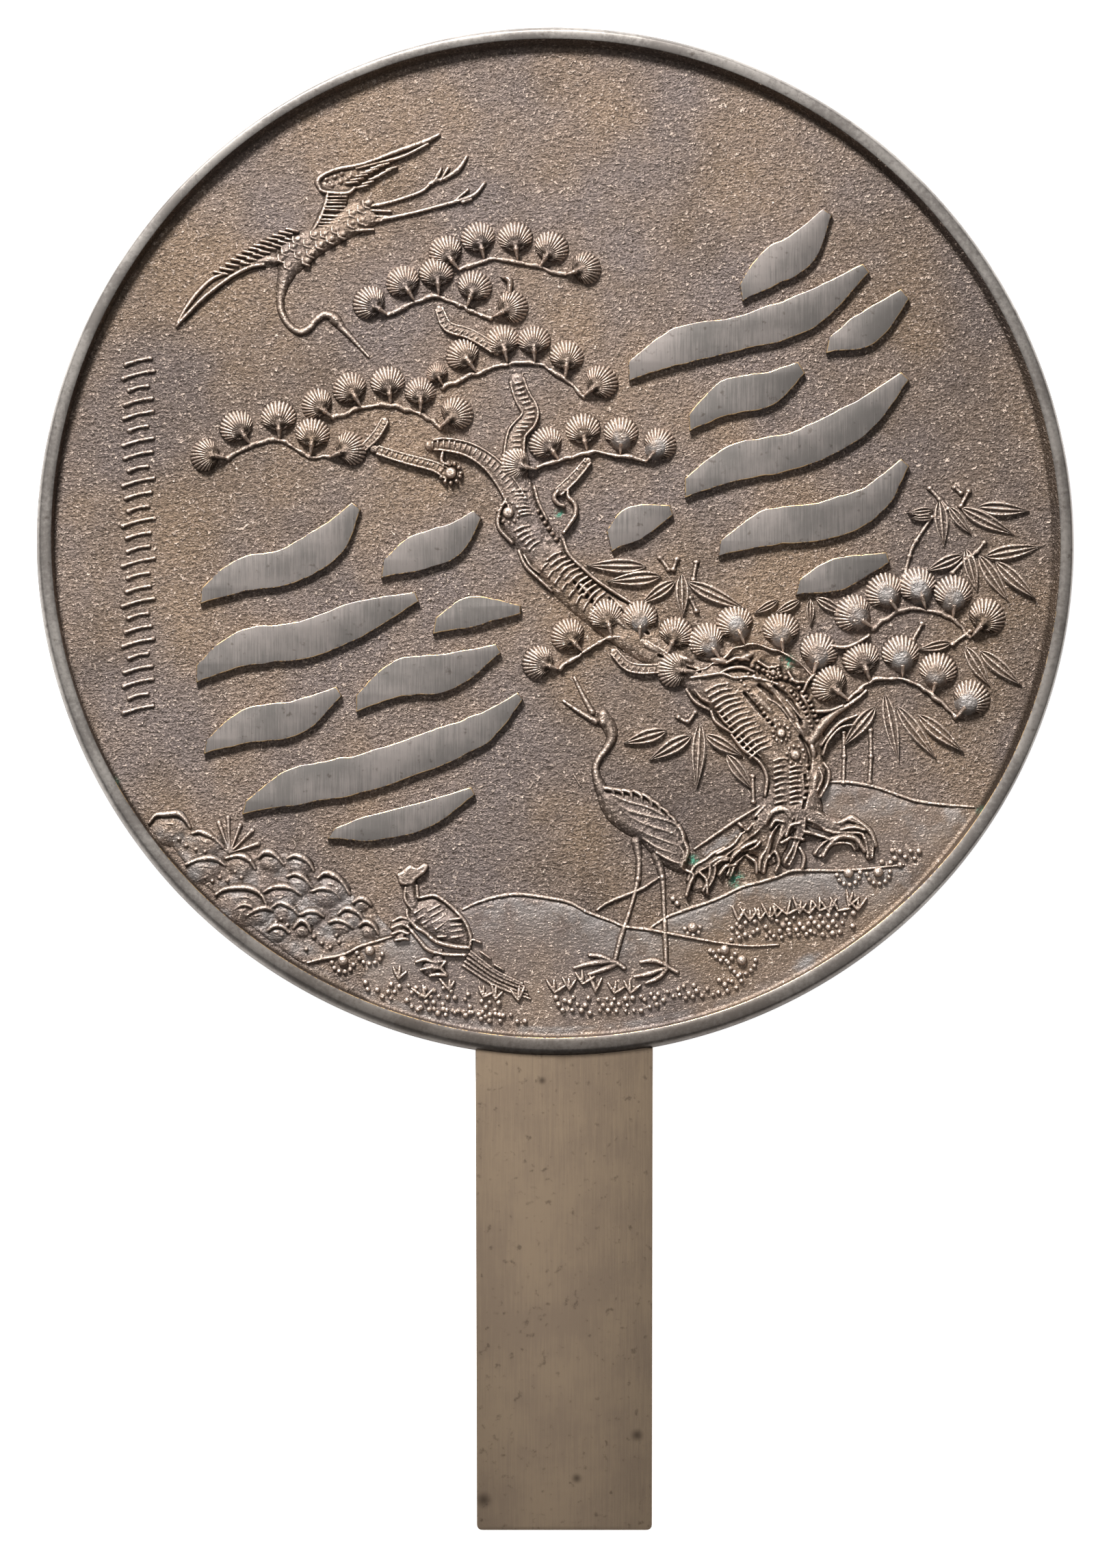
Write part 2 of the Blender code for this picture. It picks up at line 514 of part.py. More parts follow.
COLUMN_CENTRE = -96.5
COLUMN_SLANT = 14
# Their lengths swell and shrink down the column
THIN_LENGTH, THIN_SWELL, THIN_WIDTH = 6, 1.6, 1


def brush_outline(points):
    """The outline of a brush stroke: both sides of its smooth path, with a slanting end where the brush was laid."""
    path = smooth_path(points, 2)
    left, right = [], []
    for number, place in enumerate(path):
        after, before = path[min(number + 1, len(path) - 1)], path[max(number - 1, 0)]
        along = (after - before).xy.normalized()
        across = Vector((-along.y, along.x)) * place.z / 2
        slant = along * place.z / 4 if number == 0 else Vector((0, 0))
        left.append(tuple(place.xy + across + slant))
        right.append(tuple(place.xy - across - slant))
    return left + right[::-1]


def strokes():
    for number, points in enumerate(BROAD_STROKES):
        slab(f"broad stroke {number}", brush_outline(points), STROKE_RISE)
    for row in range(COLUMN_ROWS):
        middle = Vector((COLUMN_CENTRE, COLUMN_TOP - COLUMN_PITCH * row))
        half = heading(COLUMN_SLANT) * (THIN_LENGTH + THIN_SWELL * math.sin(2.2 * row)) / 2
        ends = [(*(middle - half), THIN_WIDTH), (*(middle + half), 0.7 * THIN_WIDTH)]
        ridge(f"thin stroke {row}", ends, COLUMN_RISE)


mirror = bpy.data.objects.new("mirror", turned_disc())
mirror.data.materials.append(bronze())
mirror_parts.objects.link(mirror)

handle()
pine()
bamboo()
flying_crane()
standing_crane()
turtle()
banks()
strokes()

casting = mirror.modifiers.new("cast in one", "BOOLEAN")
casting.operation = "UNION"
casting.solver = "EXACT"
casting.operand_type = "COLLECTION"
casting.collection = relief
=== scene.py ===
"""The looks of a Japanese handled mirror of old cast bronze, lying on its polished face with its back up."""

import math

import bmesh
import bpy
import numpy as np
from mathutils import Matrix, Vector


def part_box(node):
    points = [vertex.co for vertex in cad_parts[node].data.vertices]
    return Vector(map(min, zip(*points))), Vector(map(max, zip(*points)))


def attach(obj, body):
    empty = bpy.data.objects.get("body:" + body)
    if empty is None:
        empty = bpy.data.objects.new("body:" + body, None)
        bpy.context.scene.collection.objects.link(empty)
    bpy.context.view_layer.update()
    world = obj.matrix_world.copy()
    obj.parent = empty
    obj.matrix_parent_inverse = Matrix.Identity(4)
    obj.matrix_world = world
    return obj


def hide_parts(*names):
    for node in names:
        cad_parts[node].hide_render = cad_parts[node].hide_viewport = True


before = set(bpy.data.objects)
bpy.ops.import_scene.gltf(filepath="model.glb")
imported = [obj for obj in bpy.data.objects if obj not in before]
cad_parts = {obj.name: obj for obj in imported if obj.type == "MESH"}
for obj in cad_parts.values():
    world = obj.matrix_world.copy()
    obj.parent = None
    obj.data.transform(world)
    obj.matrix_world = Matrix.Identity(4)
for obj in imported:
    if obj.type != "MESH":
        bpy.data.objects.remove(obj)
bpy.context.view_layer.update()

# The plate: a disc of cast bronze 24 cm across with a raised rim, poured in one with handle and relief. It
# has gone brown all over and nearly black in its hollows, but stays coppery where it is rubbed. The rim was
# filed flat, and the underside ground and tinned as the mirror itself.


class Signal:
    """An output in a node tree. Sums of signals and numbers add their Math nodes."""

    def __init__(self, tree, output):
        self.tree = tree
        self.output = output

    def node(self, kind, settings=None, inputs=None, output=0):
        """One node of any type: its settings first, then its inputs as numbers, colours or signals."""
        made = self.tree.nodes.new(kind)
        for name, value in (settings or {}).items():
            setattr(made, name, value)
        for name, value in (inputs or {}).items():
            if isinstance(value, Signal):
                self.tree.links.new(value.output, made.inputs[name])
            else:
                made.inputs[name].default_value = value
        return Signal(self.tree, made.outputs[output])

    def sum(self, operation, *values):
        return self.node("ShaderNodeMath", {"operation": operation}, dict(enumerate(values)))

    def __add__(self, other):
        return self.sum("ADD", self, other)

    def __sub__(self, other):
        return self.sum("SUBTRACT", self, other)

    def __rsub__(self, other):
        return self.sum("SUBTRACT", other, self)

    def __mul__(self, other):
        return self.sum("MULTIPLY", self, other)

    __radd__ = __add__

    def between(self, low, high):
        """0 below low, 1 above high and a soft step from one to the other, either way round."""
        soft = {"interpolation_type": "SMOOTHSTEP"}
        return self.node("ShaderNodeMapRange", soft, {0: self, 1: low, 2: high})

    def blend(self, first, second):
        """The first colour where this is 0 and the second where it is 1."""
        return self.node("ShaderNodeMix", {"data_type": "RGBA"}, {0: self, 6: first, 7: second}, output=2)

    def times(self, scale):
        """A vector stretched by a number for each axis."""
        return self.node("ShaderNodeVectorMath", {"operation": "MULTIPLY"}, {0: self, 1: scale})

    def lumps(self, scale, detail=3.0, roughness=0.55):
        """Cloudy noise about 0.5, read at this place, with so many lumps to the millimetre."""
        inputs = {"Vector": self, "Scale": scale, "Detail": detail, "Roughness": roughness}
        return self.node("ShaderNodeTexNoise", None, inputs)

    def spot(self, x, y, radius):
        """1 in the middle of a round spot of this plane, falling to 0 at its edge."""
        flat = self.times((1, 1, 0))
        away = flat.node("ShaderNodeVectorMath", {"operation": "DISTANCE"}, {0: flat, 1: (x, y, 0)}, output=1)
        return away.between(radius, 0)

    def stored(self, label):
        """The number that store keeps for each point of the mesh."""
        return self.node("ShaderNodeAttribute", {"attribute_name": label}, None, output=2)


def linear(red, green, blue):
    """A colour given as the eye sees it, 0 to 255, in the renderer's linear light."""
    return tuple(((value / 255 + 0.055) / 1.055) ** 2.4 for value in (red, green, blue)) + (1,)


def new_finish(name, metallic, coat=0.0):
    """A material's shader node, and the place on the piece in millimetres as a signal."""
    material = bpy.data.materials.new(name)
    material.use_nodes = True
    tree = material.node_tree
    shader = tree.nodes["Principled BSDF"]
    shader.inputs["Metallic"].default_value = metallic
    shader.inputs["Coat Weight"].default_value = coat
    place = Signal(tree, tree.nodes.new("ShaderNodeTexCoord").outputs["Object"]).times((1000, 1000, 1000))
    return material, shader, place


def set_finish(shader, colour, roughness, height):
    """Links a colour, a roughness and a surface height in millimetres to a shader."""
    tree = colour.tree
    bump = height.node("ShaderNodeBump", None, {"Strength": 1.0, "Distance": 0.001, "Height": height})
    tree.links.new(colour.output, shader.inputs["Base Color"])
    tree.links.new(roughness.output, shader.inputs["Roughness"])
    tree.links.new(bump.output, shader.inputs["Normal"])


DARK_PATINA_AND_SHADE = linear(60, 49, 40)
PATINA = linear(116, 104, 99)
PATINA_WARM = linear(134, 114, 96)
COPPER_WEAR_AND_HIGHLIGHT = linear(222, 201, 185)
RUBBED_GOLD_AND_HIGHLIGHT = linear(226, 190, 138)
VERDIGRIS = linear(84, 150, 126)
DUST = linear(150, 145, 142)
# Where the ground is made darker, as (x, y, radius), mostly along the right, and by how much
DARKER_PATCHES = [(104, 20, 75), (92, 66, 60), (112, -30, 50), (-84, 30, 55), (30, -70, 60)]
DARKER_BY = 0.32
# Where copper salts show as green specks
VERDIGRIS_SPOTS = [
    (1, 7.3, 1.6), (42, -77.5, 2.6), (54, -27, 2.2), (32, -73, 1.8), (-103, -56, 3), (99, -62, 2),
]


def cast_finish(name, sand):
    """Sand-cast bronze: grainy, dark in hollows, coppery on crests, partly painted shade and highlight.

    sand is how deep the mould's grain is, as a share of the open ground's.
    """
    material, shader, place = new_finish(name, metallic=0.78)
    weave = place.times((0.6, 1.2, 1)).lumps(1.1, detail=3, roughness=0.6)
    grit = place.lumps(2.1, detail=3, roughness=0.6)
    crumbs = place.lumps(0.9, detail=2).between(0.60, 0.72)
    clouds = place.lumps(0.028, detail=5)
    smoke = place.lumps(0.045, detail=5, roughness=0.65).between(0.5, 0.68)
    wear_and_shading, smoothed, dusty = (place.stored(label) for label in ("wear_and_shading", "smoothed", "dusty"))

    colour = clouds.between(0.35, 0.68).blend(PATINA, PATINA_WARM)
    for x, y, radius in DARKER_PATCHES:
        colour = (place.spot(x, y, radius) * DARKER_BY).blend(colour, DARK_PATINA_AND_SHADE)
    colour = (smoke * 0.3).blend(colour, DARK_PATINA_AND_SHADE)
    pits = (grit * 0.6 + weave * 0.4).between(0.52, 0.36)
    colour = (pits * (0.62 - smoothed * 0.3)).blend(colour, DARK_PATINA_AND_SHADE)
    colour = (crumbs * 0.55 + grit.between(0.57, 0.7) * 0.65).blend(colour, COPPER_WEAR_AND_HIGHLIGHT)
    drifts = place.lumps(0.16, detail=4).between(0.34, 0.6)
    colour = (dusty * drifts * (grit + 0.45)).blend(colour, DUST)
    # Dark patina in the hollows, and painted shade on the rim's wall, leaf grooves, tufts and pearls' feet
    colour = (wear_and_shading.between(0, -0.5) * 0.94).blend(colour, DARK_PATINA_AND_SHADE)
    # Bare copper on crests bared by wear, and painted highlight on leaf ribs and the tufts' needles and nubs
    rubbed_and_highlit = wear_and_shading.between(0.15, 0.9) * grit.between(0.2, 0.5)
    colour = (rubbed_and_highlit * 0.88).blend(colour, COPPER_WEAR_AND_HIGHLIGHT)
    specks = place.lumps(0.9, detail=3).between(0.42, 0.55)
    for x, y, radius in VERDIGRIS_SPOTS:
        colour = (place.spot(x, y, radius) * specks).blend(colour, VERDIGRIS)
    roughness = 0.48 - rubbed_and_highlit * 0.14 + grit * 0.08
    height = (weave * 0.42 + grit * 0.48 + crumbs * 0.26) * (sand - smoothed * 0.6 * sand)
    set_finish(shader, colour, roughness, height)
    return material


def filed_finish(name, colours, scratch, darkened):
    """Bronze filed flat: fine parallel scratches, as lumps stretched by scratch, over a thin brown skin.

    stained lists its darker places, as (x, y, radius, how dark from 0 to 1).
    """
    material, shader, place = new_finish(name, metallic=0.85)
    lines = place.times(scratch).lumps(1.0, detail=4, roughness=0.7)
    clouds = place.lumps(0.07, detail=5)
    stains = place.lumps(0.55, detail=4)
    colour = (clouds * 0.55 + lines * 0.45).between(0.4, 0.6).blend(*colours)
    colour = (stains.between(0.60, 0.74) * 0.5).blend(colour, DARK_PATINA_AND_SHADE)
    for x, y, radius, dark in darkened:
        colour = (place.spot(x, y, radius) * dark).blend(colour, DARK_PATINA_AND_SHADE)
    roughness = 0.34 + lines * 0.14 + stains * 0.08
    height = lines * 0.012 + stains * 0.02
    set_finish(shader, colour, roughness, height)
    return material


def rubbed_and_highlight_finish():
    """Edges kept bright by handling, and the painted highlight on the rim's inner edge along the bottom: bare
    golden bronze between specks of the brown skin.
    """
    material, shader, place = new_finish("rubbed edge", metallic=0.9)
    left = place.lumps(1.3, detail=3) * 0.6 + place.lumps(0.09, detail=3) * 0.4
    colour = left.between(0.45, 0.56).blend(RUBBED_GOLD_AND_HIGHLIGHT, PATINA)
    set_finish(shader, colour, 0.3 + left * 0.12, left * 0.05)
    return material


def polished_finish():
    """The mirror side: ground flat and tinned, still bright, with a faint bloom and fine wiping marks."""
    material, shader, place = new_finish("polished face", metallic=1.0)
    bloom = place.lumps(0.05, detail=5)
    wiped = place.times((0.5, 6, 1)).lumps(0.6, detail=3)
    colour = bloom.between(0.45, 0.75).blend(linear(214, 205, 190), linear(176, 158, 132))
    set_finish(shader, colour, 0.12 + bloom.between(0.45, 0.8) * 0.25 + wiped * 0.04, wiped * 0.002)
    return material


ground_bronze = cast_finish("cast ground", sand=1.0)
cast_bronze = cast_finish("cast relief", sand=0.55)
polished_bronze = polished_finish()
rubbed_and_highlight_bronze = rubbed_and_highlight_finish()
# The rim's darker stretches, as (x, y, radius, how dark)
RIM_DARKENING = [(-30, -116, 90, 0.55), (40, -113, 70, 0.5), (119, -10, 80, 0.25)]
rim_bronze = filed_finish(
    "filed rim", (linear(116, 110, 105), linear(146, 140, 134)), (0.9, 0.9, 0.9), RIM_DARKENING
)

MM = 0.001
part_low, part_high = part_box("mirror")
DISC_RADIUS = part_high.x / MM
RIM_TOP = part_high.z / MM
# How high the ground lies, and its radius
GROUND = 2.6
RIM_FOOT = 113.4
# The rim isn't quite round: at these turns in degrees from +X, the radii of its wall's foot, of its top's two
# edges and of the disc's side
RIM_TURNS = [0, 40, 90, 128, 150, 180, 210, 240, 275, 305, 330]
WALL_FOOT = [114.9, 114.8, 115.3, 116.2, 116.3, 115.9, 115.1, 114, 113.7, 114.7, 115.6]
RIM_INNER = [116.8, 116.1, 116.8, 117.5, 117, 116.4, 115.3, 114.3, 114, 114.9, 116.4]
RIM_OUTER = [119.5, 118.8, 118.9, 119.6, 119.5, 119.1, 118, 116.9, 117, 118.2, 119.3]
DISC_SIDE = [
    DISC_RADIUS, 119.6, 119.7, DISC_RADIUS, DISC_RADIUS, DISC_RADIUS, 119.1, 118.4, 118.4, 119.1, 119.8,
]
# Between these turns, along the bottom where the light catches it, the rim's inner edge is a thin golden
# line: a painted highlight
HIGHLIGHT_TURNS = (208, 352)
HIGHLIGHT_WIDTH = 0.12
# The rim's wall, as shares of its width and of its height
WALL_PROFILE = [(0.12, 0.08), (0.3, 0.3), (0.5, 0.5), (0.7, 0.72), (0.88, 0.88), (1, 0.965)]
# From this radius on, the ground's rings bend to follow the wall's foot
ROUND_FIELD = 104
GROUND_RINGS, FACE_RINGS, PLATE_TURNS = 150, 12, 520
# The ground's unevenness, as (height, size of its lumps, layer of the noise)
ROUGHCAST = [(0.06, 2.3, 0), (0.04, 1.3, 1), (0.05, 9, 2)]
# Pale patches on the ground, as (x, y, the cosine and sine of its turn, half length, half width, how pale)
DUST_PATCHES = [(38.5, -69.3, 0.84, 0.54, 6.5, 1.7, 0.8), (58.6, -96.4, 0.86, 0.51, 4.6, 1.5, 1)]
GROUND_SLOT, HIGHLIGHT_SLOT, RIM_SLOT, FACE_SLOT = range(4)
NEAR_BANK = [
    (-44, -93), (-37, -90.4), (-21.4, -84.4), (-17.2, -82.4), (-12.7, -81.3), (-8.3, -80.9), (-1.8, -81.7),
    (3.3, -82.9), (12.9, -87), (21.2, -89), (25.7, -86.3), (34.9, -82.9), (43.5, -79.1), (52, -76.7),
    (60, -75.4), (74.3, -74.8), (84, -73.6),
]
FAR_BANK = [
    (46, -62), (56, -60), (60, -56.5), (63.7, -55), (67.9, -54.9), (74.3, -56.1), (84, -59.3), (99, -61),
]
BANK_RISE = 0.42
# How far down from its edge a bank is at its highest, and how slowly it fades from there
BANK_BROW, BANK_FADE = 0.8, 22

lattice = np.random.default_rng(11).random((256, 256))


def grain(x, y, size, layer=0):
    """Smooth random heights from -1 to 1, in lumps of about so many millimetres."""
    u, v = x / size + 31.7 * layer, y / size + 17.3 * layer
    column, row = np.floor(u).astype(int), np.floor(v).astype(int)
    across, up = u - column, v - row
    across, up = across**2 * (3 - 2 * across), up**2 * (3 - 2 * up)
    below = lattice[row % 256, column % 256] * (1 - across) + lattice[row % 256, (column + 1) % 256] * across
    above = (
        lattice[(row + 1) % 256, column % 256] * (1 - across)
        + lattice[(row + 1) % 256, (column + 1) % 256] * across
    )
    return 2 * (below * (1 - up) + above * up) - 1


def land(x, y):
    """How high the banks stand above the ground: highest along their upper edge, fading down the slope."""
    height = np.zeros_like(x)
    for line in (FAR_BANK, NEAR_BANK):
        across, edge = np.array(line, float).T
        depth = np.interp(x, across, edge, left=-999, right=-999) - y
        fading = np.exp(-np.clip(depth, 0, None) / BANK_FADE)
        height = np.maximum(height, BANK_RISE * np.clip(depth / BANK_BROW, 0, 1) * fading)
    return height


def in_scene(name, data):
    """A new object of the scene that holds this data."""
    obj = bpy.data.objects.new(name, data)
    bpy.context.scene.collection.objects.link(obj)
    return obj


def store(obj, label, values):
    """Keeps a number for each point of an object's mesh, for its material to read."""
    kept = obj.data.attributes.new(label, "FLOAT", "POINT")
    kept.data.foreach_set("value", np.asarray(values, np.float32))


def smooth_mesh(name, points, faces, *finishes):
    """An object with a smooth-shaded mesh from points in millimetres."""
    mesh = bpy.data.meshes.new(name)
    mesh.from_pydata(np.asarray(points, float) * MM, [], faces)
    for finish in finishes:
        mesh.materials.append(finish)
    mesh.shade_smooth()
    return in_scene(name, mesh)


def on_mirror(piece):
    """Plate, handle and relief are one casting: each piece of it rides with the mirror and stands for it."""
    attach(piece, "root")
    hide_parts("mirror")


def round_rim(radii):
    """A radius for each turn of the plate, on a soft curve through the ones measured at RIM_TURNS."""
    turns = np.interp(np.arange(PLATE_TURNS) * 360 / PLATE_TURNS, RIM_TURNS, radii, period=360)
    window = np.hanning(PLATE_TURNS // 15)
    return np.convolve(np.tile(turns, 3), window / window.sum(), "same")[PLATE_TURNS : 2 * PLATE_TURNS]


def make_plate():
    """The disc: radii and heights turned round, ring by ring, from the ground's middle to the face's."""
    foot, inner, outer, side = (round_rim(radii) for radii in (WALL_FOOT, RIM_INNER, RIM_OUTER, DISC_SIDE))
    ground = [
        (radius + (foot - RIM_FOOT) * max(0, (radius - ROUND_FIELD) / (RIM_FOOT - ROUND_FIELD)) ** 2, GROUND)
        for radius in np.linspace(0.8, RIM_FOOT, GROUND_RINGS)
    ]
    rise = RIM_TOP - GROUND
    wall = [(foot + (inner - foot) * across, GROUND + up * rise) for across, up in WALL_PROFILE]
    edge = [(inner + HIGHLIGHT_WIDTH, RIM_TOP), ((inner + outer) / 2, RIM_TOP + 0.02), (outer - 0.35, RIM_TOP),
            (outer, RIM_TOP - 0.12), (outer * 0.5 + side * 0.5, RIM_TOP - 0.7), (side, RIM_TOP - 1.6),
            (side, 1.0), (side - 0.05, 0.5), (side - 0.4, 0.12), (side - 0.8, 0.0)]
    face = [(radius + 0 * side, 0.0) for radius in np.linspace(117, 1.0, FACE_RINGS)]
    profile = ground + wall + edge + face
    radii, heights = np.array([radius for radius, _ in profile]), np.array([height for _, height in profile])
    angles = np.arange(PLATE_TURNS) * 2 * math.pi / PLATE_TURNS
    x, y = radii * np.cos(angles), radii * np.sin(angles)
    z = np.repeat(heights[:, None], PLATE_TURNS, axis=1)
    rings, walled, edged = len(radii), len(ground), len(ground) + len(wall)
    open_field = slice(0, walled + 1)
    fade = np.clip((116 - radii[open_field]) / 3, 0, 1)
    roughcast = sum(high * grain(x, y, size, layer) for high, size, layer in ROUGHCAST)
    z[open_field] += fade * (land(x, y) + roughcast)[open_field]
    z[walled + 1 : edged + 5] += 0.03 * grain(x, y, 3.5, 3)[walled + 1 : edged + 5]

    points = [*np.stack([x, y, z], axis=-1).reshape(-1, 3), (0, 0, GROUND), (0, 0, 0)]
    top, bottom = rings * PLATE_TURNS, rings * PLATE_TURNS + 1
    faces = []
    for ring in range(rings - 1):
        start = ring * PLATE_TURNS
        for turn in range(PLATE_TURNS):
            after = (turn + 1) % PLATE_TURNS
            here, there = start + turn, start + after
            faces.append((here, here + PLATE_TURNS, there + PLATE_TURNS, there))
    last = (rings - 1) * PLATE_TURNS
    for turn in range(PLATE_TURNS):
        after = (turn + 1) % PLATE_TURNS
        faces.append((top, turn, after))
        faces.append((bottom, last + after, last + turn))
    plate = smooth_mesh("plate", points, faces, ground_bronze, rubbed_and_highlight_bronze, rim_bronze, polished_bronze)

    # The wall is painted dark as painted shade, deepest along the bottom where the light falls on it.
    # Dust lies under the banks' brows, and a pale line runs along the wall's foot at the bottom
    smoothed = np.clip(land(x, y) / 0.12, 0, 1)
    degrees = np.degrees(angles)
    # hollow is 1 round the top, where the wall lies in real shadow, so it takes less painted shade there
    hollow = np.clip((116 - np.abs((degrees + 85) % 360 - 180)) / 16, 0, 1)
    ring = np.arange(rings)[:, None]
    wear_and_shading = 0.22 * smoothed - (0.5 - 0.26 * hollow) * (radii > foot - 0.5) * (ring < edged)
    pale_foot_line = np.clip(1 - np.abs(degrees - 266) / 40, 0, 1)
    pale_foot_line = pale_foot_line * np.clip(1 - np.abs(radii - foot + 1.3) / 0.7, 0, 1)
    dusty = 0.78 * np.clip((land(x, y) - 0.24) / 0.18, 0, 1) + np.clip(1.6 * pale_foot_line, 0, 0.7)
    for middle_x, middle_y, cos, sin, long, wide, pale in DUST_PATCHES:
        right, up = x - middle_x, y - middle_y
        away = np.hypot((right * cos + up * sin) / long, (up * cos - right * sin) / wide)
        dusty += np.clip(2 - 2 * away, 0, pale)
    for label, values in (("smoothed", smoothed), ("wear_and_shading", wear_and_shading), ("dusty", dusty)):
        store(plate, label, np.append(np.where(z > 1, values, 0), [0, 0]))
    for polygon in plate.data.polygons:
        ring, turn = divmod(min(polygon.vertices), PLATE_TURNS)
        if polygon.index >= (rings - 1) * PLATE_TURNS:
            polygon.material_index = FACE_SLOT if bottom in polygon.vertices else GROUND_SLOT
        # The inner edge along the bottom takes the golden finish: a painted highlight
        elif ring == edged - 1 and HIGHLIGHT_TURNS[0] < turn * 360 / PLATE_TURNS < HIGHLIGHT_TURNS[1]:
            polygon.material_index = HIGHLIGHT_SLOT
        elif ring >= edged - 1:
            polygon.material_index = FACE_SLOT if ring >= rings - FACE_RINGS - 1 else RIM_SLOT
    return plate


plate = make_plate()
on_mirror(plate)


# The handle: a flat strap left on the casting and filed smooth along its length, with its far corners eased.
# It runs in under the rim and lies flush with the polished face.

HANDLE_TOP = 4.2
HANDLE_LEFT, HANDLE_RIGHT = -18.4, 22.6
HANDLE_START, HANDLE_END = -116.3, part_low.y / MM
# How much each side draws in towards the far end
HANDLE_DRAWN_IN = (0.3, 0.2)
HANDLE_CORNER, HANDLE_BEVEL = 1.3, 0.28
# Its stains, as (x, y, radius, how dark)
HANDLE_STAINS = [
    (-3, -124, 1.3, 0.8), (-16.5, -221, 2.5, 0.8), (19, -206, 2, 0.8), (5, -216, 1.6, 0.8), (2, -118, 3, 0.3),
]
handle_bronze = filed_finish(
    "filed handle", (linear(120, 104, 88), linear(130, 113, 94)), (2.6, 0.07, 1), HANDLE_STAINS
)


def make_handle():
    """A bar with its far corners rounded and its edges eased. Its underside is part of the polished face."""
    bar = bmesh.new()
    bmesh.ops.create_cube(bar, size=1)
    for vertex in bar.verts:
        right, far, top = vertex.co.x > 0, vertex.co.y < 0, vertex.co.z > 0
        side, drawn = (HANDLE_RIGHT, -HANDLE_DRAWN_IN[1]) if right else (HANDLE_LEFT, HANDLE_DRAWN_IN[0])
        vertex.co.x = side + drawn * far
        vertex.co.y = HANDLE_END if far else HANDLE_START
        vertex.co.z = HANDLE_TOP if top else 0.0
    bmesh.ops.scale(bar, verts=bar.verts, vec=(MM, MM, MM))
    far = [e for e in bar.edges if all(v.co.y < -0.2 for v in e.verts)]
    ends = [e for e in far if e.verts[0].co.x == e.verts[1].co.x]
    bmesh.ops.bevel(bar, geom=ends, offset=HANDLE_CORNER * MM, segments=4, profile=0.55, affect="EDGES")
    rims = [e for e in bar.edges if abs(e.verts[0].co.z - e.verts[1].co.z) < 1e-6]
    bmesh.ops.bevel(bar, geom=rims, offset=HANDLE_BEVEL * MM, segments=3, profile=0.5, affect="EDGES")
    mesh = bpy.data.meshes.new("handle")
    bar.to_mesh(mesh)
    bar.free()
    mesh.materials.append(handle_bronze)
    mesh.materials.append(polished_bronze)
    for polygon in mesh.polygons:
        polygon.material_index = int(polygon.normal.z < -0.9)
    mesh.shade_smooth()
    mesh.set_sharp_from_angle(angle=math.radians(25))
    return in_scene("handle", mesh)


handle = make_handle()
on_mirror(handle)


# The pine: an old trunk that leans up to the left, with ladders of bark, ringed knots, clawing roots and
# thin limbs. Like all the relief it is cast with the plate, so each figure is a closed skin of heights
# rooted in the ground.

# How far under the ground a mould starts, and how far its skin's foot and middle reach down into the plate
ROOT, SKIRT, APEX = -0.4, 0.9, 1.4
# How little a crisp form melts into what it stands on, and how far a comb's cords stray
CRISP, COMB_SWAY = 0.05, 0.15


def smooth_path(points, spacing=0.5):
    """Points about so far apart on a smooth curve through a few given ones of any number of values."""
    knots = np.array(points, float)
    knots = np.vstack([2 * knots[0] - knots[1], knots, 2 * knots[-1] - knots[-2]])
    path = []
    for before, start, end, after in zip(knots, knots[1:], knots[2:], knots[3:]):
        count = max(2, int(np.hypot(*(end - start)[:2]) / spacing))
        for t in np.arange(count) / count:
            path.append(
                start + t / 2 * (end - before) + t**2 * (before - 2.5 * start + 2 * end - after / 2)
                + t**3 * (1.5 * (start - end) + (after - before) / 2)
            )
    return np.array([*path, knots[-2]])


def beside(path, share):
    """The path moved sideways by a share of its own width, to the left if positive."""
    along = np.gradient(path[:, :2], axis=0)
    along /= np.linalg.norm(along, axis=1)[:, None] + 1e-9
    return path[:, :2] + np.stack([-along[:, 1], along[:, 0]], axis=1) * path[:, 2:3] * share


def heading(turn):
    """The unit step in the plane at a turn in degrees from +X."""
    return np.array([math.cos(math.radians(turn)), math.sin(math.radians(turn))])


def sway(points, size, layer):
    """Smooth random steps in x and y for some points, in lumps of about so many millimetres."""
    return np.stack([grain(*points.T, size, layer), grain(*points.T, size, layer + 1)], axis=1)


def along(line, shares):
    """Points at these shares of a line's length."""
    line = np.asarray(line, float)[:, :2]
    lengths = np.concatenate([[0], np.cumsum(np.linalg.norm(np.diff(line, axis=0), axis=1))])
    at = np.asarray(shares) * lengths[-1]
    return np.stack([np.interp(at, lengths, line[:, axis]) for axis in (0, 1)], axis=1)


